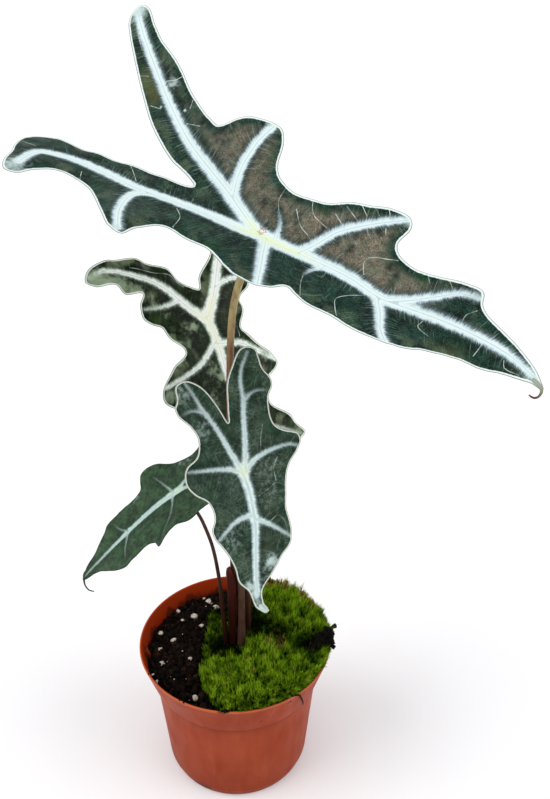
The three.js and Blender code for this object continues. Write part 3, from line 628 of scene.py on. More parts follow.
rng = np.random.default_rng(5)
pitch = 1.02
grid_x, grid_y = np.meshgrid(np.arange(-24, 61, pitch), np.arange(-61, 61, pitch))
spots = np.column_stack([grid_x.ravel(), grid_y.ravel()])
spots += rng.uniform(-0.55, 0.55, size=spots.shape) * pitch
radius = np.hypot(*spots.T)
wall_radius = float(inner_radius(90)) - 0.6
spots = spots[(inside_moss(spots) > 0.4) & (radius < wall_radius)]
stalk_holes = np.array([(0, 3.4, 4.6), (7.6, 9, 2.7), (4, -0.4, 3.6), (-8, 3, 1.9)])
for x, y, hole in stalk_holes:
    spots = spots[np.hypot(spots[:, 0] - x, spots[:, 1] - y) > hole]
spill_angle = np.radians(np.concatenate([rng.uniform(-57, 73, 440), rng.uniform(-86, -57, 50)]))
spill_radius = rng.uniform(57.2, rim_radius - 0.6, len(spill_angle))
spill = np.column_stack([spill_radius * np.cos(spill_angle), spill_radius * np.sin(spill_angle)])
inner_count = len(spots)
spots = np.vstack([spots, spill])
spilled = np.arange(len(spots)) >= inner_count
# Painted shade: in these hollows round the stalks and under the leaves the moss is painted darker, and its
# shoots grow shorter.
shaded_hollows = np.array([
    (-9, 0, 9, 1), (-2, -7, 7, 0.9), (-14, 22, 8, 0.45), (-9, 32, 8, 0.9), (5, 29, 9, 0.9),
    (12, 12, 10, 0.9), (27, 3, 7, 0.8), (45, -9, 8, 1), (52, -4, 6, 0.8),
])
dimness = np.zeros(len(spots))
for x, y, reach, depth in shaded_hollows:
    dimness += depth * hump(spots, x, y, reach)
dimness = np.clip(dimness, 0, 1)
clump = rough(spots, 5.5, 3)
vigour = np.clip(0.85 + 0.7 * clump - 0.65 * dimness, 0.22, 1.4)
vigour[spilled] *= np.where(spill_angle < math.radians(-57), 0.35, 0.55)
dryness = 0.8 * hump(spots, 26, -4, 6)
dryness += smooth_share(np.hypot(*spots.T), 52, 57) * smooth_share(spots[:, 1], 15, 35) * 1.2
is_dry = rng.random(len(spots)) < np.clip(dryness, 0.02, 1) * 0.75

leaf_count = 6
leaves = np.repeat(np.arange(len(spots)), leaf_count)
angle = rng.uniform(0, 2 * math.pi, len(leaves))
spread = rng.uniform(0.02, 0.24, len(leaves))
length = shoot_height * vigour[leaves] * rng.uniform(0.55, 1.25, len(leaves))
outward = spots[leaves] / 60
at_wall = smooth_share(np.hypot(*spots.T), 48, 57)[leaves]
lean = np.column_stack([np.cos(angle), np.sin(angle)]) * spread[:, None]
lean += (0.12 + 0.45 * at_wall[:, None]) * outward
lean += 0.22 * np.column_stack([rough(spots, 7, 8), rough(spots, 7, 9)])[leaves]
root_height = moss_top(spots) - 1.2 + 0.9 * clump
root_height[spilled] = pot_height + 0.1
base = np.column_stack([spots[leaves] + rng.normal(0, 0.3, (len(leaves), 2)), root_height[leaves]])
radius = np.hypot(base[:, 0], base[:, 1])
limit = np.where(spilled[leaves], rim_radius - 0.5, inner_radius(base[:, 2]) - 0.5)
base[:, :2] *= np.minimum(1, limit / radius)[:, None]
sag = np.where(spilled[leaves], 0.55, 0.0) * length
middle = base + np.column_stack([0.5 * length[:, None] * lean, 0.55 * length + 0.4])
end = base + np.column_stack([1.1 * length[:, None] * lean, 1.0 * length + 0.5 - sag])
width = rng.uniform(0.12, 0.24, len(leaves))
across = np.column_stack([-np.sin(angle), np.cos(angle), np.zeros(len(leaves))])
thick = np.column_stack([np.cos(angle), np.sin(angle), np.zeros(len(leaves))])


def ring_of(centre, half):
    corners = [across, -0.5 * across + 0.6 * thick, -0.5 * across - 0.6 * thick]
    return [centre + half[:, None] * corner for corner in corners]


leaf_points = np.stack(ring_of(base, width) + ring_of(middle, 0.85 * width) + [end], axis=1)
leaf_faces = np.array([
    (0, 2, 1), (0, 1, 4), (0, 4, 3), (1, 2, 5), (1, 5, 4), (2, 0, 3), (2, 3, 5),
    (3, 4, 6), (4, 5, 6), (5, 3, 6),
])
# Each tuft's green varies from clump to clump, with painted shade in the hollows.
shade = 0.4 + 0.5 * rough(spots, 5, 6) + 0.4 * clump - 0.6 * dimness + rng.normal(0, 0.16, len(spots))
shade = np.clip(shade, 0, 1)
third = np.digitize(spots[:, 1], (-14, 12))
for number, part_name in enumerate(("moss_shoots_front", "moss_shoots_middle", "moss_shoots_back")):
    chosen = (third == number)[leaves]
    count = int(chosen.sum())
    points = leaf_points[chosen].reshape(-1, 3)
    faces = (leaf_faces[None] + (7 * np.arange(count))[:, None, None]).reshape(-1, 3)
    # Painted shade: shoots in the hollows are dimmed from foot to tip.
    light = (1 - 0.88 * dimness[leaves[chosen]])[:, None]
    tips = np.tile([0, 0, 0, 0.55, 0.55, 0.55, 1], (count, 1)) * light
    painted = {"tip": tips.ravel()}
    painted["shade"] = np.repeat(shade[leaves[chosen]], 7)
    painted["dry"] = np.repeat(is_dry[leaves[chosen]].astype(float), 7)
    shoots = piece(part_name, points, faces, moss_finish, painted)
    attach(shoots, "root")


def closed_tube(rings, sides):
    """Faces of a tube of rings of points, with each end closed round one of the last two points."""
    faces = []
    for ring in range(rings - 1):
        for k in range(sides):
            n = (k + 1) % sides
            low, high = ring * sides, (ring + 1) * sides
            faces.append((low + k, low + n, high + n, high + k))
    ends = rings * sides
    for k in range(sides):
        n = (k + 1) % sides
        faces.append((ends, n, k))
        faces.append((ends + 1, ends - sides + k, ends - sides + n))
    return faces


cushion_gap = 0.9
ring_total = 30
base_height = mix_level + wall_gap
cushion_radius = float(inner_radius(base_height)) - wall_gap
start_angle, end_angle = (math.atan2(end[1], end[0]) for end in (moss_line[-1], moss_line[0]))
arc = np.linspace(start_angle, end_angle, 140)
along_wall = cushion_radius * np.column_stack([np.cos(arc), np.sin(arc)])
border = np.vstack([along_wall, moss_line[1:-1]])
centre = np.array([17.0, -2.0])
rings = [np.column_stack([border, np.full(len(border), base_height)])]
for share in np.linspace(0.985, 0.03, ring_total):
    ring = centre + (border - centre) * share
    rings.append(np.column_stack([ring, moss_top(ring) - cushion_gap]))
crown_height = float(moss_top(centre[None])[0]) - cushion_gap
points = np.vstack(rings + [[[*centre, base_height]], [[*centre, crown_height]]])
faces = closed_tube(len(rings), len(border))
zero = np.zeros(len(points))
# The bed under the shoots takes the near-black of their feet: painted shade deep in the cushion.
cushion = piece("moss_bed", points, faces, moss_finish, {"tip": zero + 0.1, "shade": zero, "dry": zero})
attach(cushion, "root")
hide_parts("moss_cushion")

# The rootstock
# The buried corm with its thick roots, which all the stalks grow from. It is hidden in the mix, so its
# moulded solid stays, with a woody, fibrous finish.
root_finish = Finish("corky corm", 0.85, 0.3)
place = root_finish.place()
fibre = place.stretch(1, 1, 0.2).grain(1.6, 4)
root_skin = root_finish.blend(fibre.ease(0.35, 0.7), tone(74, 48, 32), tone(138, 104, 74))
root_finish.colour(root_skin)
root_finish.emboss(fibre, 0.4)
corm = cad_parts["rootstock"]
corm.data.materials.clear()
corm.data.materials.append(root_finish.material)

# The leaf stalks
# Four smooth, round petioles, thick at the corm and slender under the blade. The crown's is tan and
# finely mottled; the others are grey-brown to red-brown, and all but the front one have a dark foot.


def stem_mesh(path, radii, sides, step=1.5, ribs=0.0):
    """Points, faces and marks of a round stem along a smooth path; radii are spaced evenly along it."""
    line = through(path, step)
    tangent = np.gradient(line, axis=0)
    tangent /= np.linalg.norm(tangent, axis=1)[:, None]
    share = np.linspace(0, 1, len(line))
    radius = np.interp(share, np.linspace(0, 1, len(radii)), radii)
    normal = np.cross(tangent[0], (0.3, 1, 0.1))
    points = []
    angles = np.linspace(0, 2 * math.pi, sides, endpoint=False)
    for centre, way, size in zip(line, tangent, radius):
        normal = normal - way * (normal @ way)
        normal /= np.linalg.norm(normal)
        other = np.cross(way, normal)
        around = np.outer(np.cos(angles), normal) + np.outer(np.sin(angles), other)
        points.append(centre + size * (1 + ribs * np.cos(3 * angles))[:, None] * around)
    points = np.vstack(points + [line[:1], line[-1:]])
    run = np.concatenate([np.repeat(share, sides), [0, 1]])
    return points, closed_tube(len(line), sides), run


def stalk_finish(name, foot, low, high, mottle, dark_reach=(0.22, 0.02), pale_reach=(0.18, 0.95)):
    finish = Finish(name, 0.45, 0.15)
    place = finish.place()
    run = finish.mark("run")
    streak = place.stretch(1, 1, 0.12).grain(0.8, 4)
    blotch = place.stretch(1, 1, 0.45).grain(2.6, 3)
    skin = finish.blend(run.ease(*pale_reach), low, high)
    skin = skin.coat(run.ease(*dark_reach), foot)
    skin = skin.coat(blotch.ease(0.42, 0.66, 0, 0.5), mottle)
    skin = skin.coat(streak.ease(0.5, 0.8, 0, 0.45), mottle)
    finish.colour(skin)
    finish.roughness(blotch.ease(0.3, 0.7, 0.34, 0.5))
    finish.emboss(streak, 0.12)
    return finish


stalks = {
    "crown": {
        "path": [(-0.2, 3.4, 74.4), (0, 3.4, 92), (0.1, 3.2, 128), (0.4, 3, 200), (0.9, 3, 278),
                 (3.3, 3, 313.5), (7.2, 3, 329.5), (13.5, 1.8, 344), (18.6, 0.2, 354.2)],
        "radii": [2.9, 2.6, 2.35, 2.2, 2.1, 2.0, 1.9, 1.9, 2.3],
        "finish": stalk_finish("tan stalk", tone(40, 11, 5), tone(110, 70, 48), tone(178, 164, 112),
                               tone(100, 66, 46), (0.42, 0.26), (0.66, 0.97)),
    },
    "back": {
        "path": [(5.6, 8.2, 74.4), (7.4, 9, 92), (7.8, 9.5, 115), (6.5, 12, 140), (0, 23, 190),
                 (-6.5, 36, 240), (-13, 47, 270), (-17, 50.5, 284), (-14.6, 46, 290.4)],
        "radii": [2.2, 2.0, 1.8, 1.6, 1.4, 1.3, 1.6],
        "finish": stalk_finish("dark stalk", tone(34, 12, 8), tone(74, 44, 34), tone(120, 104, 70),
                               tone(48, 24, 18)),
    },
    "front": {
        "path": [(4, -0.6, 74.4), (4, -0.4, 92), (4.4, 0, 131), (4.9, -5, 175), (6, -15, 212),
                 (7, -26, 232), (8.1, -34.2, 240)],
        "radii": [3.4, 2.8, 2.15, 2.1, 2.0, 1.9, 1.8, 1.7, 1.6, 1.5, 1.4, 1.6],
        "finish": stalk_finish("grey-brown stalk", tone(72, 50, 41), tone(78, 54, 43), tone(108, 98, 72),
                               tone(52, 33, 26)),
    },
    "side": {
        "path": [(-5.6, 3.6, 74.4), (-6.1, 3, 90), (-7.2, 3, 106), (-9.0, 3, 136), (-12, 2.4, 160.5),
                 (-15, 1, 174), (-18.6, -2, 187.5), (-24, -6.6, 201), (-28.2, -9.6, 210)],
        "radii": [2.2, 1.7, 1.4, 1.2, 1.1, 1.05, 1.0, 1.2],
        "finish": stalk_finish("red-brown stalk", tone(28, 10, 6), tone(52, 23, 16), tone(80, 52, 38),
                               tone(32, 12, 8)),
    },
}
for name, stalk in stalks.items():
    points, faces, run = stem_mesh(stalk["path"], stalk["radii"], 24, ribs=0.03)
    made = piece(name + "_stalk", points, faces, stalk["finish"], {"run": run})
    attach(made, "root")
    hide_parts("petiole_" + name)

# The sheath
# The dry leaf that once wrapped the newest stalk: a papery, red-brown trough, frayed at its blunt tip,
# which stands close against the foot of the crown's stalk.
sheath_axis = (-0.1, 3.4)
sheath_bottom, sheath_top = 74.4, 149
sheath_radius = 3.35
sheath_flare = 0.9
sheath_thickness = 0.5
sheath_facing = math.radians(190)
sheath_twist = math.radians(45)
sheath_foot_half, sheath_tip_half = 80, 30
sheath_finish = Finish("dry sheath", 0.55, 0.1)
place = sheath_finish.place()
fibre = place.stretch(1, 1, 0.06).grain(0.7, 4)
run = sheath_finish.mark("run")
skin = sheath_finish.blend(fibre.ease(0.35, 0.7), tone(42, 8, 3), tone(84, 25, 10))
skin = skin.coat(run.ease(0.95, 0.45, 0, 0.85), tone(32, 7, 3))
skin = skin.coat(run.ease(0.92, 1, 0, 0.6), tone(104, 48, 26))
sheath_finish.colour(skin)
sheath_finish.emboss(fibre, 0.3)
rows, columns = 60, 22
points = []
run = []
for row in range(rows + 1):
    t = row / rows
    half = math.radians(sheath_foot_half + (sheath_tip_half - sheath_foot_half) * t**7)
    radius = sheath_radius + sheath_flare * t
    for side in (1, -1):
        for column in range(columns + 1):
            share = side * (1 - 2 * column / columns)
            angle = sheath_facing + sheath_twist * t**2 + half * share
            curl = 0.5 * t * share**4
            fray = (0.4 * math.sin(9 * share + 1) - 5 * share**2) * t**6
            size = radius + curl + (sheath_thickness if side == 1 else 0) * (1 - 0.6 * share**6)
            size += 0.12 * math.sin(7 * angle) + 0.1 * math.sin(17 * t + 3 * share)
            x = sheath_axis[0] + size * math.cos(angle)
            y = sheath_axis[1] + size * math.sin(angle)
            points.append((x, y, sheath_bottom + (sheath_top - sheath_bottom) * t + fray))
            run.append(t)
count = 2 * (columns + 1)
faces = []
for row in range(rows):
    for k in range(count):
        n = (k + 1) % count
        faces.append((row * count + k, (row + 1) * count + k, (row + 1) * count + n, row * count + n))
for start, turn in ((0, 1), (rows * count, -1)):
    for k in range(columns):
        quad = (start + k, start + k + 1, start + count - 2 - k, start + count - 1 - k)
        faces.append(quad[::turn])
sheath = piece("dry_sheath", points, faces, sheath_finish, {"run": run})
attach(sheath, "root")
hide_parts("cataphyll")

# The leaf blades
# Four leathery, arrow-shaped blades with cut and waved edges. Broad silver veins feather out into the
# dark skin, ribs stand out below, and a pale line follows the edge. Places on a blade are [along, across]
# in millimetres from where the stalk meets it.
blade_thickness = 0.6
valley = 4
leaves = {
    "crown": {
        "seat": (19.5, 0, 356), "heading": -36, "slope": -15, "roll": -24, "fold": 22,
        "tip_droop": 0.0006, "lobe_droop": 0.0004, "side_droop": 0,
        "wave": 3, "wave_length": 78, "wave_start": 10, "half_width": 45, "grid": 1.25, "ruffle": (0.5, 26),
        "outline": [
            (-151, 72), (-150, 76), (-142, 76), (-129, 67), (-118, 61), (-101, 55), (-83, 45), (-65, 37),
            (-57, 35), (-45, 44), (-33, 48), (-26, 48), (-21, 43), (-17, 33), (-11, 27), (2, 24),
            (15, 25), (33, 32), (49, 38), (58, 39), (61, 35), (60, 26), (63, 22), (72, 20), (86, 22),
            (100, 25), (107, 25), (110, 20), (120, 16), (134, 13), (146, 8), (152, 3), (146, 3),
            (137, 0), (124, -5), (108, -11), (102, -15), (97, -20), (90, -23), (76, -27), (60, -27),
            (48, -30), (42, -29), (35, -27), (31, -35), (25, -39), (15, -39), (7, -36), (-8, -31),
            (-19, -32), (-32, -34), (-38, -45), (-38, -55), (-46, -55), (-56, -50), (-73, -40),
            (-86, -34), (-98, -34), (-107, -38), (-111, -46), (-112, -54), (-116, -57), (-122, -53),
            (-130, -43), (-138, -34), (-142, -24), (-140, -17), (-134, -13), (-118, -10), (-100, -6),
            (-82, -2), (-60, 1), (-49, 4), (-54, 6), (-72, 11), (-91, 20), (-110, 33), (-129, 48),
            (-142, 59), (-149, 66),
        ],
        "veins": [
            (3.9, 1.1, 40, [(-1, -3), (12, -2.4), (24, -0.8), (50, 1.4), (68, 0.3), (77, 2), (96, 5.8),
                            (115, 8), (133, 8.3), (150, 5)]),
            (3.1, 1.6, 18, [(-1, -2.5), (-11, 1.3), (-29, 8.6), (-64, 20.8), (-80, 28.8), (-108, 45),
                            (-130, 58.8), (-149, 73.5)]),
            (2.9, 1.6, 0, [(-26, 7.5), (-30.6, 17), (-32.4, 24), (-32.8, 36), (-30, 48)]),
            (3.7, 2.1, 18, [(0, -3), (-10, -5.8), (-30, -8.6), (-66.5, -17), (-86, -18), (-104.5, -20.4),
                            (-117, -25), (-124, -31), (-119, -47)]),
            (2.8, 1.4, 0, [(-60, -15.5), (-64, -24), (-58, -36.5), (-49, -46.6), (-42, -53)]),
            (2.5, 1.0, 0, [(21, -1), (26, 7), (31.4, 16.2), (36.5, 21), (49.8, 31.8), (59, 39)]),
            (2.1, 0.6, 0, [(73, 1.5), (80.4, 6.6), (89, 13.2), (99, 20.2), (107.5, 22)]),
            (2.8, 1.7, 8, [(3, -2), (9.6, -12), (18, -24), (27, -37)]),
            (2.4, 1.4, 0, [(67.6, -0.4), (74, -8), (81, -18), (88, -24)]),
            (1.2, 0.1, 0, [(7.5, 0.5), (4, 8), (-1, 13)]),
            (1.2, 0.1, 0, [(36.5, -1), (34, -7), (34, -13)]),
        ],
        "pale": [
            (-147, 73, 7, 0.8), (-118, -52, 7, 0.75), (-43, -54, 4, 0.6), (-33, 48, 4, 0.5),
            (59, 38, 4, 0.5), (106, 24, 4, 0.5), (148, 5, 6, 0.6), (-99, 46, 3, 0.7),
            (-82, 36, 0.9, 1.2), (-96, 32, 0.7, 1),
        ],
        "gold": [
            (-114, 41, 5, 0.6), (-107, 37, 5, 0.6), (-101, 34, 4, 0.4), (112, -8, 6, 0.4),
        ],
        "threads": [
            [(-1, 13), (-4, 17), (-5, 24)], [(12, 25), (13, 22), (17, 18), (26, 16)],
            [(20, 9), (14, 11), (7, 17)], [(26, 23), (33, 20)], [(29, 28), (38, 25)],
            [(35, 32), (40, 29)], [(42, 34), (45, 32)], [(47, 37), (50, 34)], [(80, 21), (84, 17)],
            [(90, 23), (94, 20)], [(51, 29), (53, 26)], [(44, 24), (46, 22)],
            [(55, 6), (52, 10), (52, 13), (57, 16), (60, 17), (65, 19)],
            [(34, -13), (38, -20), (44, -28)], [(62, -3), (57, -10), (55, -16), (59, -22), (62, -25)],
            [(91, 1), (91, -3), (98, -5)], [(119, 7), (119, -1)], [(131, 5), (133, 2), (140, 3)],
            [(106, 9), (106, 13), (109, 17)], [(-139, 62), (-126, 52)],
            [(-103, 45), (-99, 48), (-97, 52)], [(-82, 43), (-80, 38)], [(-102, 30), (-95, 31)],
            [(-76, 30), (-67, 31)], [(-119, 39), (-113, 42)], [(-88, -3), (-80, -8), (-73, -13)],
            [(-41, -17), (-34, -22), (-30, -31)], [(-97, -27), (-92, -33)], [(-138, -30), (-130, -28)],
        ],
    },
    "back": {
        "seat": (-14, 45, 291.5), "heading": -46, "slope": -58, "roll": -4, "fold": 6,
        "tip_droop": 0.002, "lobe_droop": 0.003, "side_droop": 0.002,
        "wave": 3.5, "wave_length": 46, "wave_start": 6, "half_width": 32, "grid": 1.0, "ruffle": (2.2, 19),
        "outline": [
            (-38, -61.5), (-41, -60), (-45, -55), (-47, -47), (-45, -33), (-39, -22), (-30, -11),
            (-19, -3), (-16, 1), (-23, 7), (-34, 18), (-46, 26), (-58, 32), (-66, 39), (-66, 46),
            (-58, 50), (-46, 49), (-34, 46), (-20, 41), (-10, 36), (-4, 28), (6, 22), (14, 19), (20, 21),
            (26, 26), (33, 33), (39, 36), (43, 33), (46, 25), (52, 20), (60, 21), (70, 28), (79, 36),
            (85, 40), (88, 34), (90, 24), (94, 14), (102, 6), (109, 1), (102, -3), (92, -7), (82, -14),
            (74, -20), (66, -23), (58, -22), (50, -27), (44, -35), (38, -41), (32, -44), (26, -41),
            (20, -33), (15, -24), (6, -26), (-2, -28), (-6, -34), (-12, -37), (-18, -37), (-23, -35),
            (-26, -43), (-32, -48), (-35, -58),
        ],
        "veins": [
            (3.2, 1.2, 30, [(-1, 0), (17, 0.8), (34, -0.4), (60, 0.6), (84, 2), (107, 1)]),
            (2.8, 1.0, 12, [(1, -1), (-8.6, -8.8), (-23, -19.2), (-33.4, -33.8), (-41.5, -47.6),
                            (-40, -58)]),
            (1.3, 0.4, 0, [(-13.5, -13), (-13, -22), (-15, -35)]),
            (3.7, 1.6, 22, [(0.6, 1), (-11.8, 11), (-26.8, 19.8), (-42, 30), (-60, 43)]),
            (1.7, 0.8, 0, [(-14, 12), (-15.8, 22), (-13.4, 37)]),
            (1.8, 0.9, 0, [(15, 0), (24.2, -16), (29, -41)]),
            (1.9, 1.2, 0, [(16, 0), (20.8, 14.2), (28, 23), (36.8, 35)]),
            (0.8, 0.3, 0, [(63, 0.4), (70.6, 13.7), (85, 37.6)]),
            (0.8, 0.3, 0, [(62, 1), (67, -10), (68.6, -22)]),
        ],
        # On the back leaf the pale spots are painted highlights on its folds and crumples.
        "pale": [
            (-38, -55, 7, 0.9), (-31, -45, 6, 0.8), (-25, -38, 4.5, 0.6), (-15, -31, 3, 0.3),
            (3, -10, 2.4, 0.9), (-21, -29, 2.5, 0.5), (-15, -28, 2.2, 0.5), (-8, -23, 2.5, 0.4),
            (2, -15, 4, 0.4), (8, -25, 2.5, 0.7), (11, -19, 2.5, 0.6), (18, -30, 3.5, 0.6),
            (29, -9, 5, 0.5), (35, -5, 2.5, 0.9), (45, -16, 5, 0.5), (34, -40, 5, 0.7), (32, 29, 4, 0.7),
            (-62, 44, 6, 0.5), (84, 36, 7, 0.4),
        ],
        "threads": [
            [(-39, -34), (-33, -23), (-27, -11), (-20, -6)], [(19, -36), (19, -30), (18, -25)],
            [(11, 17), (17, 15)],
        ],
    },
    "front": {
        "seat": (8.3, -35, 241), "heading": -68, "slope": -62, "roll": 0, "fold": 8,
        "tip_droop": 0.002, "lobe_droop": 0.001, "side_droop": 0,
        "wave": 1.5, "wave_length": 44, "wave_start": 4, "half_width": 28, "grid": 0.9, "ruffle": (0.4, 17),
        "outline": [
            (-62, 14), (-61, 10), (-54, 5), (-47, 1), (-39, -1), (-32, -2), (-25, -3), (-36, -8),
            (-43, -12), (-48, -17), (-50, -22), (-48, -27), (-41, -28), (-37, -30), (-33, -29),
            (-27, -24), (-21, -21), (-16, -21), (-11, -23), (-7, -29), (-3, -31), (2, -31), (7, -28),
            (12, -22), (17, -20), (22, -20), (27, -22), (32, -21), (37, -18), (43, -15), (50, -13),
            (57, -12), (63, -7.5), (68, -6), (72, -5), (75, -2.5), (77, 0.6), (75, 1.6), (72, -0.1),
            (69, -0.6), (65, -0.3), (62, 1.6), (58, 5.5), (54, 8.5), (49, 12.5), (43, 18.5), (38, 20),
            (31, 20), (23, 19), (15, 20), (7, 22), (1, 25), (-4, 30), (-9, 33), (-13, 32), (-16, 25),
            (-19, 21), (-24, 19), (-30, 19), (-35, 20), (-40, 23), (-44, 23), (-50, 20), (-55, 19),
            (-60, 18),
        ],
        "veins": [
            (2.2, 1.1, 9, [(0, -0.6), (12, 1.5), (25, 1.8), (33, 1.3), (45, -0.6), (57, -2.2), (66, -3)]),
            (1.4, 0.3, 7, [(0, 1.6), (-9, 3.3), (-27, 5.7), (-36, 7.2), (-43, 7.3), (-51, 9.1),
                           (-59, 14)]),
            (0.6, 0.05, 0, [(-34, 7.2), (-37.7, 11.2), (-38.7, 15), (-37.6, 21)]),
            (1.35, 0.3, 5, [(0, -0.6), (-9.8, -4.6), (-24.8, -10.6), (-35.9, -16.4), (-42.6, -18.8),
                            (-49, -22)]),
            (0.6, 0.05, 0, [(-31.4, -14.3), (-34.1, -19.2), (-34.4, -23), (-33, -28)]),
            (1.1, 0.3, 4, [(1, -0.5), (-1.8, -8.4), (-3, -16), (-4.5, -29)]),
            (1.2, 0.3, 4, [(1.6, 1.6), (-3.2, 6.5), (-6.8, 15.2), (-7.8, 22), (-8, 27), (-6.5, 31)]),
            (1.1, 0.4, 0, [(24.6, 2), (24.6, -4), (26.4, -9.8), (33, -19)]),
            (1.1, 0.3, 0, [(26.2, 1.8), (29.2, 6.9), (33, 12), (40.5, 20.3)]),
        ],
        "pale": [
            (50, 7, 3.5, 0.8), (60, -7, 3, 0.6), (65, -4, 4, 0.7), (74, -1, 4, 0.9), (-44, -25, 6, 0.35),
            (-24, -18, 6, 0.3), (0, 13, 8, 0.2), (34, -13, 8, 0.25), (56, 3, 5, 0.25), (16, 12, 8, 0.15),
        ],
        "threads": [
            [(15, 6), (12, 12), (10, 16), (13, 21)], [(9, 16), (2, 16), (-3, 19)],
            [(-21, 14), (-14, 12), (-7, 11)], [(37, 18), (30, 17), (27, 14), (29, 10)],
        ],
    },
    "side": {
        "seat": (-29, -10, 211), "heading": -162, "slope": -38, "roll": 8, "fold": 8,
        "tip_droop": 0.0015, "lobe_droop": 0.002, "side_droop": 0,
        "wave": 1.2, "wave_length": 40, "wave_start": 4, "half_width": 26, "grid": 0.9, "ruffle": (0.4, 18),
        "outline": [
            (-28, -16), (-21, -14), (-16, -14), (-9, -16), (-1, -22), (4, -26), (10, -28), (14, -27),
            (17, -22), (19, -19), (25, -18), (34, -18), (43, -18), (48, -17), (51, -14), (56, -11),
            (62, -9), (68, -7), (73, -4), (76, -1), (73, 1), (66, 3), (58, 10), (51, 17), (46, 20),
            (41, 18), (34, 18), (27, 19), (24, 22), (22, 28), (18, 26), (13, 24), (8, 24), (2, 26),
            (-4, 26), (-10, 26), (-17, 27), (-25, 25), (-28, 19), (-23, 10), (-13, 2), (-22, -4),
            (-29, -11),
        ],
        "veins": [
            (1.9, 0.3, 6, [(-1, 0.2), (10, -1.5), (25, -2.5), (41, -2.5), (58, -2.2), (74, -2)]),
            (0.9, 0.3, 5, [(0, 0), (-12, 7), (-24, 20)]),
            (0.9, 0.2, 5, [(0, 0), (-12, -5), (-25, -13)]),
            (0.6, 0.05, 0, [(3, -1.2), (5, -8.4), (9, -20)]),
            (0.45, 0.05, 0, [(4, -0.6), (9, 11), (19, 23)]),
            (0.4, 0.05, 0, [(37, -2.6), (41, -7.5), (44, -15)]),
            (0.4, 0.05, 0, [(38, -2.4), (43, 6), (45, 14)]),
        ],
        "pale": [
            (25, -17, 2.5, 0.3), (-12, -14, 5, 0.3),
        ],
        "threads": [],
    },
}


def leaf_axes(leaf):
    """Along the midrib, across to its left, and out of the upper face."""
    heading, slope, roll = (math.radians(leaf[key]) for key in ("heading", "slope", "roll"))
    level_share = math.cos(slope)
    along = Vector((level_share * math.cos(heading), level_share * math.sin(heading), math.sin(slope)))
    level = (Vector((0, 0, 1)) - along * along.z).normalized()
    out = Matrix.Rotation(-roll, 3, along) @ level
    return np.array([along, out.cross(along), out])


def leaf_height(leaf, u, v):
    """Height of the upper face over the plane of its frame."""
    fold = math.tan(math.radians(leaf["fold"])) * (np.hypot(v, valley) - valley)
    droop = 0.5 * np.where(u > 0, leaf["tip_droop"], leaf["lobe_droop"]) * u * u
    droop = droop + 0.5 * leaf["side_droop"] * v * v
    edge = np.minimum(1, (v / leaf["half_width"]) ** 2)
    wave = leaf["wave"] * edge * np.sin(2 * math.pi * (u - leaf["wave_start"]) / leaf["wave_length"])
    return fold - droop + wave


def away(spots, lines):
    """Distance from each spot to the nearest of the lines."""
    return np.min([from_line(spots, line)[0] for line in lines], axis=0)


def cut_shape(leaf):
    """Flat triangles that fill a leaf's outline, with points along all its veins."""
    step = leaf["grid"]
    outline = leaf["outline"]
    closed = through(outline[-3:] + outline + outline[:3], step)
    gaps = np.linalg.norm(closed - outline[0], axis=1)
    half = len(closed) // 2
    begin = int(np.argmin(gaps[:half]))
    finish = half + int(np.argmin(gaps[half:]))
    edge = closed[begin:finish]
    lines = [through(vein[-1], step) for vein in leaf["veins"]]
    lines += [through(points, step) for points in leaf["threads"]]
    low, high = edge.min(0), edge.max(0)
    rows = np.arange(low[1], high[1], step * math.sqrt(3) / 2)
    columns = np.arange(low[0], high[0], step)
    grid = np.array([(x + (k % 2) * step / 2, y) for k, y in enumerate(rows) for x in columns])
    border = np.vstack([edge, edge[:1]])
    veins = lines[:len(leaf["veins"])]
    beside = []
    for line in veins:
        way = np.gradient(line, axis=0)
        aside = np.column_stack([-way[:, 1], way[:, 0]]) / np.linalg.norm(way, axis=1)[:, None]
        beside += [line + step * aside, line - step * aside]
    beside = np.vstack(beside)
    beside = beside[away(beside, veins) > 0.85 * step]
    beside = beside[away(beside, lines + [border]) > 0.5 * step]
    grid = grid[away(grid, lines + [border]) > 0.55 * step]
    grid = np.vstack([grid[away(grid, veins) > 1.5 * step], beside])
    flat = [Vector(p) for p in edge]
    edges = []
    for line in lines:
        start = len(flat)
        flat.extend(Vector(p) for p in line)
        edges.extend((start + k, start + k + 1) for k in range(len(line) - 1))
    flat.extend(Vector(p) for p in grid)
    turn = sum(a[0] * b[1] - a[1] * b[0] for a, b in zip(border, border[1:]))
    loop = list(range(len(edge)))
    if turn < 0:
        loop.reverse()
    points, _, faces, _, _, _ = delaunay_2d_cdt(flat, edges, [loop], 1, 1e-5)
    kept, faces = np.unique(np.array(faces), return_inverse=True)
    return np.array([tuple(p) for p in points])[kept], faces.reshape(-1, 3), border


# A fixed direction in the world: the side of each vein that faces it gets a painted sheen.
vein_sheen_direction = (-0.9, 0.25, 0.35)


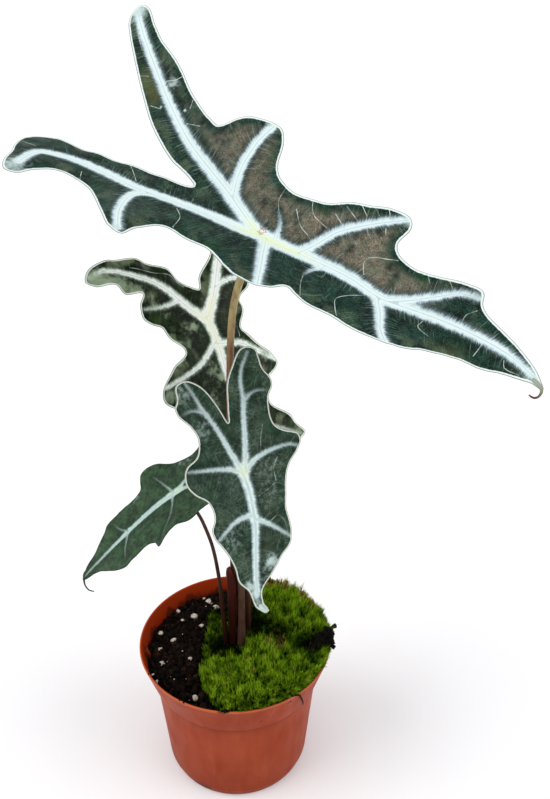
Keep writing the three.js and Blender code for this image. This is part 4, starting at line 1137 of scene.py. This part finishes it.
def blade_marks(leaf, spots, border):
    """What the skin of a leaf needs to know at each spot."""
    melt = 0.6
    joined = np.zeros(len(spots))
    widest = np.full(len(spots), -50.0)
    marks = {"rib": np.full(len(spots), 50.0)}
    for key in ("run", "glow", "strong", "lee", "side"):
        marks[key] = np.zeros(len(spots))
    # That direction laid on the blade, to mark the side of each vein that faces it for a painted sheen.
    lean = leaf_axes(leaf)[:2] @ vein_sheen_direction
    for start, end, glow, points in leaf["veins"]:
        line = through(points, 1.0)
        gap, side, along = from_line(spots, line)
        width = start + (end - start) * np.clip(along / (along.max() + 1e-6), 0, 1) ** 0.8
        joined += np.exp(np.clip((width - gap) / melt, -60, 20))
        leads = width - gap > widest
        widest = np.where(leads, width - gap, widest)
        marks["run"] = np.where(leads, along + math.hypot(*points[0]), marks["run"])
        marks["strong"] = np.where(leads, np.clip(width / 0.9, 0, 1), marks["strong"])
        way = np.subtract(points[-1], points[0])
        toward = side * (way[0] * lean[1] - way[1] * lean[0]) / np.linalg.norm(way)
        marks["lee"] = np.where(leads, toward, marks["lee"])
        marks["side"] = np.where(leads, side, marks["side"])
        marks["rib"] = np.minimum(gap, marks["rib"])
        if glow:
            warmth = smooth_share(along, glow, 0.3 * glow) * smooth_share(gap, 0.75 * start + 0.2, 0)
            marks["glow"] = np.maximum(marks["glow"], warmth)
    marks["silver"] = np.maximum(melt * np.log(joined + 1e-20), -50)
    marks["thread"] = np.full(len(spots), 50.0)
    for points in leaf["threads"]:
        marks["thread"] = np.minimum(marks["thread"], from_line(spots, through(points, 1.0))[0])
    marks["margin"], _, marks["round"] = from_line(spots, border)
    for key in ("pale", "gold"):
        marks[key] = np.zeros(len(spots))
        for x, y, reach, strength in leaf.get(key, ()):
            marks[key] += strength * hump(spots, x, y, reach)
    return marks


seat_centre = (-1.1, 0, 0)
seat_radius = 1.5


def blade_skin(name, look):
    finish = Finish(name, look["roughness"], look["specular"])
    spot = finish.mark("spot", "Vector")
    names = ("silver", "strong", "lee", "side", "rib", "run", "glow", "thread", "margin", "pale", "gold",
             "under", "bronze_and_reflection")
    mark = {key: finish.mark(key) for key in names}
    slant = mark["run"] - mark["rib"] * 0.4
    apart = mark["side"] * 6
    hair = finish.together(slant, mark["rib"] * 0.1, apart).grain(0.36, 2)
    tuft = finish.together(mark["run"], mark["rib"] * 0.3, apart).grain(2.4, 3)
    streak = finish.together(slant, mark["rib"] * 0.07, 9).grain(0.75, 3)
    grit = spot.grain(0.75, 4, 0.75)
    mottle = spot.grain(2.6, 3)
    patch = spot.grain(9, 4)
    cloud = spot.stretch(1, 1.3, 1).grain(17, 3)

    leafage = patch * 0.6 + mottle * 0.4
    skin = finish.blend(leafage.ease(0.38, 0.62), look["dark"], look["green"])
    near_edge = mark["margin"].ease(15, 3)
    # Painted reflection: olive-grey patches of reflected light on the waves near the edge; the lighter
    # green patches beside them are the leaf's own colour.
    edge_sheen = cloud.ease(0.5, 0.62) * near_edge
    skin = skin.coat(edge_sheen * look["edge_patch_share"], look["edge_sheen"])
    leafy = cloud.ease(0.46, 0.36) * near_edge
    skin = skin.coat(leafy * look["edge_patch_share"], look["leafy"])
    # Bronze grain: partly the leaf's own bronze cast, partly a painted reflection of brown surroundings on
    # the parts that face them.
    flecks = grit * 0.8 + mottle * 0.2
    grains = finish.blend(flecks.ease(0.4, 0.6), look["bronze_and_reflection_dark"], look["bronze_and_reflection"])
    grains = grains.coat(spot.grain(4, 3).ease(0.48, 0.64, 0, 0.5), look["bronze_and_reflection_green"])
    # Painted glints: fine bright specks of light on the bronze grain.
    grains = grains.coat(spot.grain(0.6, 2).ease(0.58, 0.7, 0, 0.5), look["glint"])
    tint = mark["bronze_and_reflection"] * patch.ease(0.28, 0.54)
    skin = skin.coat(tint * look["bronze_and_reflection_share"], grains)
    clear = mark["silver"].ease(-2, -6)
    sheen = spot.grain(7, 3, 0.6).ease(0.52, 0.66) * clear
    skin = skin.coat(sheen * look["sheen_share"], look["sheen"])
    beside = mark["silver"].ease(-6, -1, 0, 0.4)
    skin = skin.coat(beside, look["dark"])
    skin = skin.coat(grit.ease(0.48, 0.66, 0, look["grit"]), look["dark"])
    skin = skin.coat(grit.ease(0.48, 0.34, 0, 0.35 * look["grit"]), look["haze"])
    skin = skin.coat(streak.ease(0.46, 0.34, 0, 0.3), look["dark"])
    skin = skin.coat(streak.ease(0.56, 0.7, 0, look["streak"]), look["haze"])
    comb = streak.ease(0.6, 0.72, 0, look["comb"]) * mark["silver"].ease(-7, -1)
    skin = skin.coat(comb * mark["strong"], look["silver_shade"])
    skin = skin.coat(mark["gold"] * grit.ease(0.4, 0.6, 0.3, 1), look["gold"])
    net = spot.cells(2.5, "DISTANCE_TO_EDGE")
    net = net.ease(0.07, 0.0, 0, 0.8).most(grit.ease(0.5, 0.3))
    bloom = net * cloud.ease(0.42, 0.62)
    skin = skin.coat(bloom * look["bloom"], look["haze"])
    faint = spot.grain(5, 2).ease(0.35, 0.65, 0.2, 0.9)
    thread = mark["thread"].ease(0.28, 0.04) * faint
    skin = skin.coat(thread, look["thread"])

    fringe = mark["silver"].ease(-look["wisp"], 0.3)
    fringe = fringe * fringe * hair.ease(0.4, 0.62, 0.15, 0.85)
    # Painted sheen: the fringe and band are brighter and wider on the side of each vein that faces the
    # fixed direction.
    fringe = fringe * mark["lee"].ease(-0.7, 0.7, 0.6, 1)
    skin = skin.coat(fringe * mark["strong"], look["silver_shade"])
    feather = look["feather"]
    reach = mark["silver"] + hair.ease(0.35, 0.65, -feather, feather)
    reach = reach + mark["lee"].ease(-0.8, 0.8, -0.2, 0.3)
    reach = reach + tuft.ease(0.3, 0.7, -2 * feather, 2 * feather)
    band = reach.ease(-look["soft"], 0.5 * look["soft"]) * mark["strong"]
    silver = mark["silver"] + tuft.ease(0.3, 0.7, -0.6, 0.6)
    silver = finish.blend(silver.ease(-0.4, 1), look["silver_shade"], look["silver"])
    skin = skin.coat(band, silver)
    # Painted shade: thin grey lines along the broad veins, as shade on their fine raised ribs.
    lines = (mark["rib"] * (2 * math.pi / look["line_gap"])).cosine()
    lines = lines.ease(0.3, 0.95) * tuft.ease(0.3, 0.6, 0.3, 0.6)
    lines = lines * mark["silver"].ease(0, 0.8)
    lines = lines * mark["rib"].ease(1.8, 0.6, 0.35, 1)
    skin = skin.coat(lines, look["groove"])
    skin = skin.coat(mark["glow"] * lines.ease(0, 0.6, 0.95, 0.55), look["glow"])
    # Pale spots: the crown's pale lobe tips and the front leaf's dust are their own colour; on the back
    # leaf they are painted highlights.
    dust_and_highlight = mark["pale"] + mottle.ease(0.35, 0.65, -0.15, 0.15)
    skin = skin.coat(dust_and_highlight.ease(0.1, 0.9, 0, 0.9), look["pale"])
    edge = look["edge"]
    ragged = spot.grain(1.4).ease(0.3, 0.7, -0.1 * edge, 0.1 * edge)
    ragged = mark["margin"] + ragged
    skin = skin.coat(ragged.ease(edge, 0.75 * edge), look["edge_tone"])
    # Painted shadow: a thin dark line along the very rim of the blade, outside the pale margin.
    skin = skin.coat(mark["margin"].ease(0.3, 0.1, 0, look["edge_shade_share"]), look["edge_shade_line"])
    if "seat_ring" in look:
        far = spot.away_from(seat_centre).length()
        far = far + spot.grain(1.2).ease(0.3, 0.7, -0.9, 0.9)
        ring = abs(far - seat_radius).ease(0.7, 0.2, 0, 0.7)
        skin = skin.coat(ring, look["seat_ring"])
    below = finish.blend(patch.ease(0.3, 0.7), look["below"], look["below_shade"])
    below = below.coat(mark["rib"].ease(2.2, 0.6), look["below_rib"])
    skin = skin.coat(mark["under"], below)
    finish.colour(skin)
    shine = patch.ease(0.3, 0.7, look["roughness"], look["roughness"] + 0.1)
    finish.roughness(shine + band * 0.1)
    finish.emboss(grit + streak * 0.6, 0.12)
    return finish


silvery = {
    "roughness": 0.4, "specular": 0.07, "dark": tone(4, 18, 14), "green": tone(22, 56, 45),
    "edge_sheen": tone(98, 112, 80), "leafy": tone(36, 84, 40), "edge_patch_share": 0.36,
    "bronze_and_reflection": tone(164, 150, 128), "bronze_and_reflection_dark": tone(44, 39, 32), "bronze_and_reflection_green": tone(88, 98, 76),
    "glint": tone(208, 200, 182), "gold": tone(106, 110, 62), "bronze_and_reflection_share": 0.95,
    "haze": tone(116, 150, 136), "streak": 0.3, "comb": 0.22, "grit": 0.6, "bloom": 0.15,
    "sheen": tone(74, 100, 84), "sheen_share": 0.22, "thread": tone(206, 222, 214), "feather": 0.15,
    "soft": 1.05, "wisp": 3.2, "silver": tone(220, 235, 234), "silver_shade": tone(194, 215, 221),
    "line_gap": 1.5, "groove": tone(156, 180, 176), "glow": tone(224, 236, 188),
    "pale": tone(190, 210, 206), "edge": 1.1, "edge_tone": tone(224, 236, 232),
    "edge_shade_line": tone(92, 100, 94), "edge_shade_share": 0.7, "below": tone(104, 126, 102),
    "below_shade": tone(118, 112, 98), "below_rib": tone(166, 178, 142),
}
looks = {
    "crown": silvery | {"seat_ring": tone(172, 88, 70)},
    "back": silvery | {
        "roughness": 0.34, "specular": 0.1, "comb": 0.06, "green": tone(24, 40, 14),
        "dark": tone(3, 7, 1), "edge_sheen": tone(134, 146, 114), "leafy": tone(50, 76, 32),
        "edge_patch_share": 0.6, "bronze_and_reflection_share": 0.08, "streak": 0.25, "grit": 0.4, "haze": tone(90, 112, 82),
        "sheen": tone(112, 122, 100), "sheen_share": 0.3, "silver": tone(252, 255, 252),
        "silver_shade": tone(188, 208, 188), "glow": tone(250, 254, 220), "edge": 0.9,
        "pale": tone(150, 168, 140), "wisp": 2.6, "soft": 0.9, "edge_tone": tone(228, 240, 224),
    },
    "front": silvery | {
        "specular": 0.1, "comb": 0.06, "thread": tone(158, 180, 168), "green": tone(50, 72, 55),
        "dark": tone(18, 36, 24), "bronze_and_reflection_share": 0.1, "feather": 0.12, "grit": 0.4, "wisp": 2.4,
        "edge": 0.62, "silver": tone(222, 238, 236), "silver_shade": tone(190, 211, 212),
        "edge_tone": tone(222, 230, 220), "edge_shade_line": tone(120, 112, 96), "edge_shade_share": 0.6,
        "line_gap": 5, "bloom": 0.42, "haze": tone(116, 138, 126), "streak": 0.25, "edge_patch_share": 0.2,
    },
    "side": silvery | {
        "specular": 0.14, "comb": 0.0, "green": tone(54, 86, 54), "dark": tone(20, 40, 22),
        "bronze_and_reflection_share": 0.0, "feather": 0.08, "soft": 0.7, "wisp": 1.2, "line_gap": 5,
        "silver": tone(196, 218, 212), "silver_shade": tone(170, 198, 188), "glow": tone(206, 226, 168),
        "edge": 0.3, "edge_tone": tone(24, 38, 22), "edge_shade_line": tone(24, 36, 22), "edge_patch_share": 0.1,
        "grit": 0.5, "haze": tone(92, 118, 92), "streak": 0.2, "sheen": tone(70, 94, 72), "bloom": 0.1,
    },
}
quilting = 0.45
groove_depth, groove_half = 0.35, 1.5
ripple_depth, ripple_size = 0.35, 13
keel_half = 1.1
rim_bulge = 0.22
bronze_and_reflection_line = (-11, 1, -138, 73, 156)
rib_depth = {"crown": 1.1, "back": 1.0, "front": 0.9, "side": 0.8}

for name, leaf in leaves.items():
    spots, faces, border = cut_shape(leaf)
    marks = blade_marks(leaf, spots, border)
    u, v = spots.T
    axes = leaf_axes(leaf)
    bulge = quilting * smooth_share(np.minimum(marks["rib"], marks["margin"] + 2), 0.5, 9)
    groove = groove_depth * np.exp(-(marks["rib"] / groove_half) ** 2)
    ripple = ripple_depth * rough(spots, ripple_size, 2) * smooth_share(marks["rib"], 0, 6)
    swing, pace = leaf["ruffle"]
    ruffle = swing * smooth_share(marks["margin"], 9, 0) * smooth_share(marks["rib"], 1, 8)
    ruffle = ruffle * np.sin(2 * math.pi * marks["round"] / pace + 2 * np.sin(marks["round"] / 31))
    upper = leaf_height(leaf, u, v) + bulge - groove + ripple + ruffle
    keel = rib_depth[name] * np.exp(-(marks["rib"] / keel_half) ** 2)
    keel = keel * smooth_share(marks["margin"], 0, 3)
    lower = upper - blade_thickness * smooth_share(marks["margin"], -1.5, 1.5) - keel
    count = len(spots)
    tris = [tuple(face) for face in faces]
    used = {pair for a, b, c in tris for pair in ((a, b), (b, c), (c, a))}
    rim = [pair for pair in used if (pair[1], pair[0]) not in used]
    push = np.zeros((count, 2))
    for a, b in rim:
        way = spots[b] - spots[a]
        push[[a, b]] += np.array([way[1], -way[0]]) / max(np.linalg.norm(way), 1e-6)
    rim_points = sorted({a for a, _ in rim})
    index = {a: 2 * count + k for k, a in enumerate(rim_points)}
    outward = push[rim_points] / np.maximum(np.linalg.norm(push[rim_points], axis=1), 1e-6)[:, None]
    side_spots = spots[rim_points] + rim_bulge * outward
    side_height = 0.5 * (upper + lower)[rim_points]
    flat = np.vstack([spots, spots, side_spots])
    tall = np.concatenate([upper, lower, side_height])
    points = np.array(leaf["seat"]) + np.column_stack([flat, tall]) @ axes
    shell = tris + [(a + count, c + count, b + count) for a, b, c in tris]
    for a, b in rim:
        shell.append((b, a, index[a], index[b]))
        shell.append((index[b], index[a], a + count, b + count))
    order = np.concatenate([np.arange(count), np.arange(count), rim_points])
    painted = {key: values[order] for key, values in marks.items() if key != "round"}
    painted["under"] = np.concatenate([np.zeros(count), np.ones(count), np.zeros(len(rim_points))])
    painted["spot"] = np.column_stack([flat, np.zeros(len(flat))])
    # Where the bronze grain lies on the blade: partly the leaf's own bronze cast, partly a painted
    # reflection of brown surroundings on the half that faces them.
    foot_u, foot_v, way_u, way_v, way_length = bronze_and_reflection_line
    right_of_vein = ((u - foot_u) * way_v - (v - foot_v) * way_u) / way_length
    on_lobes = (0.05 + 0.7 * smooth_share(right_of_vein, -3, 3)) * smooth_share(u, -150, -90)
    ahead = smooth_share(u, -8, 4)
    warm = (1 - ahead) * on_lobes + ahead * smooth_share(v, -6, 6) * smooth_share(u, 100, 72)
    warm *= smooth_share(marks["margin"], 2, 8) * smooth_share(marks["silver"], -0.5, -3)
    painted["bronze_and_reflection"] = warm[order]
    blade = piece(name + "_blade", points, shell, blade_skin(name + " leaf", looks[name]), painted)
    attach(blade, "root")
    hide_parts("blade_" + name)

# The drip tips
# Three of the blades end in a soft point that dries and curls under: brown and hooked on the crown leaf,
# a long hook on the side leaf, a short pale one on the front leaf.


def tip_finish(name, fresh, dry):
    finish = Finish(name, 0.55, 0.3)
    finish.colour(finish.blend(finish.mark("run").ease(0.25, 0.8), fresh, dry))
    finish.emboss(finish.place().grain(0.5), 0.2)
    return finish


tip_finishes = {
    "crown": tip_finish("brown drip tip", tone(150, 160, 140), tone(88, 54, 46)),
    "side": tip_finish("dark drip tip", tone(60, 74, 52), tone(70, 60, 54)),
    "front": tip_finish("pale drip tip", tone(190, 208, 202), tone(190, 204, 190)),
}
drip_tips = {
    "crown": ([(136.5, -76.5, 315), (139.3, -79.6, 313.3), (139.9, -80.9, 311.4), (138.6, -82, 309.6),
               (137.1, -82.2, 309), (135.4, -82, 309.5), (134.5, -81.5, 310.2)],
              [1.0, 1.1, 0.9, 0.7, 0.55, 0.5, 0.35]),
    "side": ([(-81.5, -22, 165), (-83.2, -23.7, 163), (-83.5, -25.1, 160.5), (-82.9, -26.8, 157.6),
              (-80.7, -28.1, 155.1), (-77.8, -28.5, 154.3)], [0.8, 0.8, 0.6, 0.45, 0.4, 0.3]),
    "front": ([(16.6, -62.9, 175.2), (18.4, -63.9, 172.9), (20.2, -64.4, 172), (21.4, -64.2, 172.9)],
              [0.9, 1.1, 0.9, 0.5]),
}
for name, (path, radii) in drip_tips.items():
    points, faces, run = stem_mesh(path, radii, 12, 0.4)
    made = piece(name + "_drip_tip", points, faces, tip_finishes[name], {"run": run})
    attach(made, "root")

# The scrap of bark
# A black crumb of bark and dead root, caught in the moss at the right and lying over the rim, with two
# knobbed stubs that stand out past it. A thin root hair lies over the rim and down the collar.
bark_finish = Finish("dead bark", 0.85, 0.1)
place = bark_finish.place()
crust = place.grain(1.3, 5, 0.65)
bark_finish.colour(bark_finish.blend(crust.ease(0.35, 0.7), tone(2, 2, 1), tone(21, 15, 11)))
bark_finish.emboss(crust, 0.6)
rng = np.random.default_rng(23)
bark_lumps = np.array([
    (45.5, -12, 92.6, 2.4), (48, -9.5, 93, 2.8), (51, -8, 94, 3.8), (54, -5, 95, 4.2),
    (56.8, -2.5, 95.8, 4.2), (58, 1.5, 95.2, 3.2), (49, -14, 92.8, 2.4), (52, -1.5, 93.8, 2.6),
    (58.4, -6.8, 95, 3.2), (58.6, -1, 98.2, 3), (58.8, -4.6, 97.6, 2.4),
])
points, faces, owner = lumps(bark_lumps[:, :3], bark_lumps[:, 3], 4, rng, 0.0, 0.75)
centres = bark_lumps[owner][:, :3]
swell = 1 + 0.45 * rough(points, 2.2, 1, 4)
points = centres + (points - centres) * swell[:, None]
on_pot = np.hypot(points[:, 0], points[:, 1]) < rim_radius + 1
points[on_pot, 2] = np.maximum(points[on_pot, 2], pot_height + 0.3)
all_points, all_faces = [points], [np.array(faces)]
offset = len(points)
stubs = [
    ([(55, -6, 94.2), (58.6, -8.6, 94.6), (61.6, -10.6, 94)], [1.2, 0.9, 1.5]),
    ([(57, 2, 94.8), (60, 4.6, 95.6), (63, 7.6, 95)], [1.2, 0.9, 1.5]),
    ([(59.6, -9.2, 94.4), (60.6, -4, 96), (60.4, 0.5, 96.4), (60.6, 5.2, 95.4)], [0.9, 0.8, 0.9, 0.8]),
]
for path, radii in stubs:
    points, faces, _ = stem_mesh(path, radii, 16, 0.4)
    points = points + 0.25 * np.column_stack([rough(points, 1.2, k) for k in (1, 2, 3)])
    fans = [(face[0], *face[k:k + 2]) for face in faces for k in range(1, len(face) - 1)]
    all_points.append(points)
    all_faces.append(np.array(fans) + offset)
    offset += len(points)
bark = piece("bark_and_root_scrap", np.vstack(all_points), np.vstack(all_faces), bark_finish)
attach(bark, "root")
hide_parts("bark_scrap")

hair_places = [
    (-56, 91.2, -2.0), (-53, 92.6, -0.2), (-50.5, 92, 0.55), (-47, 86, 0.55), (-41.5, 76, 0.55),
    (-38.5, 69.5, 0.6),
]
hair_path = []
for degrees, z, proud in hair_places:
    outer = np.interp(z, [collar_foot, pot_height], [collar_foot_radius, rim_radius]) + proud
    hair_path.append(round_pot(outer, degrees, z))
points, faces, _ = stem_mesh(hair_path, [0.3, 0.5, 0.5, 0.45, 0.35, 0.2], 10, 0.6)
hair = piece("root_hair", points, faces, bark_finish)
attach(hair, "root")

# The floor and the light
# A plain pale floor under soft studio light: an even surround and a broad soft light from each side, the
# left one stronger.
floor_finish = Finish("pale floor", 0.9, 0.1)
floor_tone = floor_finish.place().grain(900)
floor_finish.colour(floor_finish.blend(floor_tone, tone(248, 248, 248), tone(253, 253, 253)))
floor_reach = 80000
floor_drop = 0.2
corner_sides = ((-1, -1), (1, -1), (1, 1), (-1, 1))
floor_corners = [(x * floor_reach, y * floor_reach, -floor_drop) for x, y in corner_sides]
floor = piece("floor", floor_corners, [(0, 1, 2, 3)], floor_finish)
world = bpy.data.worlds.new("studio")
world.use_nodes = True
world.node_tree.nodes["Background"].inputs["Color"].default_value = tone(252, 252, 255)
world.node_tree.nodes["Background"].inputs["Strength"].default_value = 0.76
bpy.context.scene.world = world
light_spread = math.radians(50)
soft_lights = {
    "left light": (1.3, (-0.9, -0.25, 0.8)),
    "right light": (0.9, (0.9, -0.25, 0.65)),
}
for name, (energy, direction) in soft_lights.items():
    light = bpy.data.lights.new(name, "SUN")
    light.energy = energy
    light.angle = light_spread
    holder = bpy.data.objects.new(name, light)
    holder.rotation_euler = Vector(direction).to_track_quat("Z", "Y").to_euler()
    bpy.context.scene.collection.objects.link(holder)
bpy.context.scene.view_settings.view_transform = "Standard"
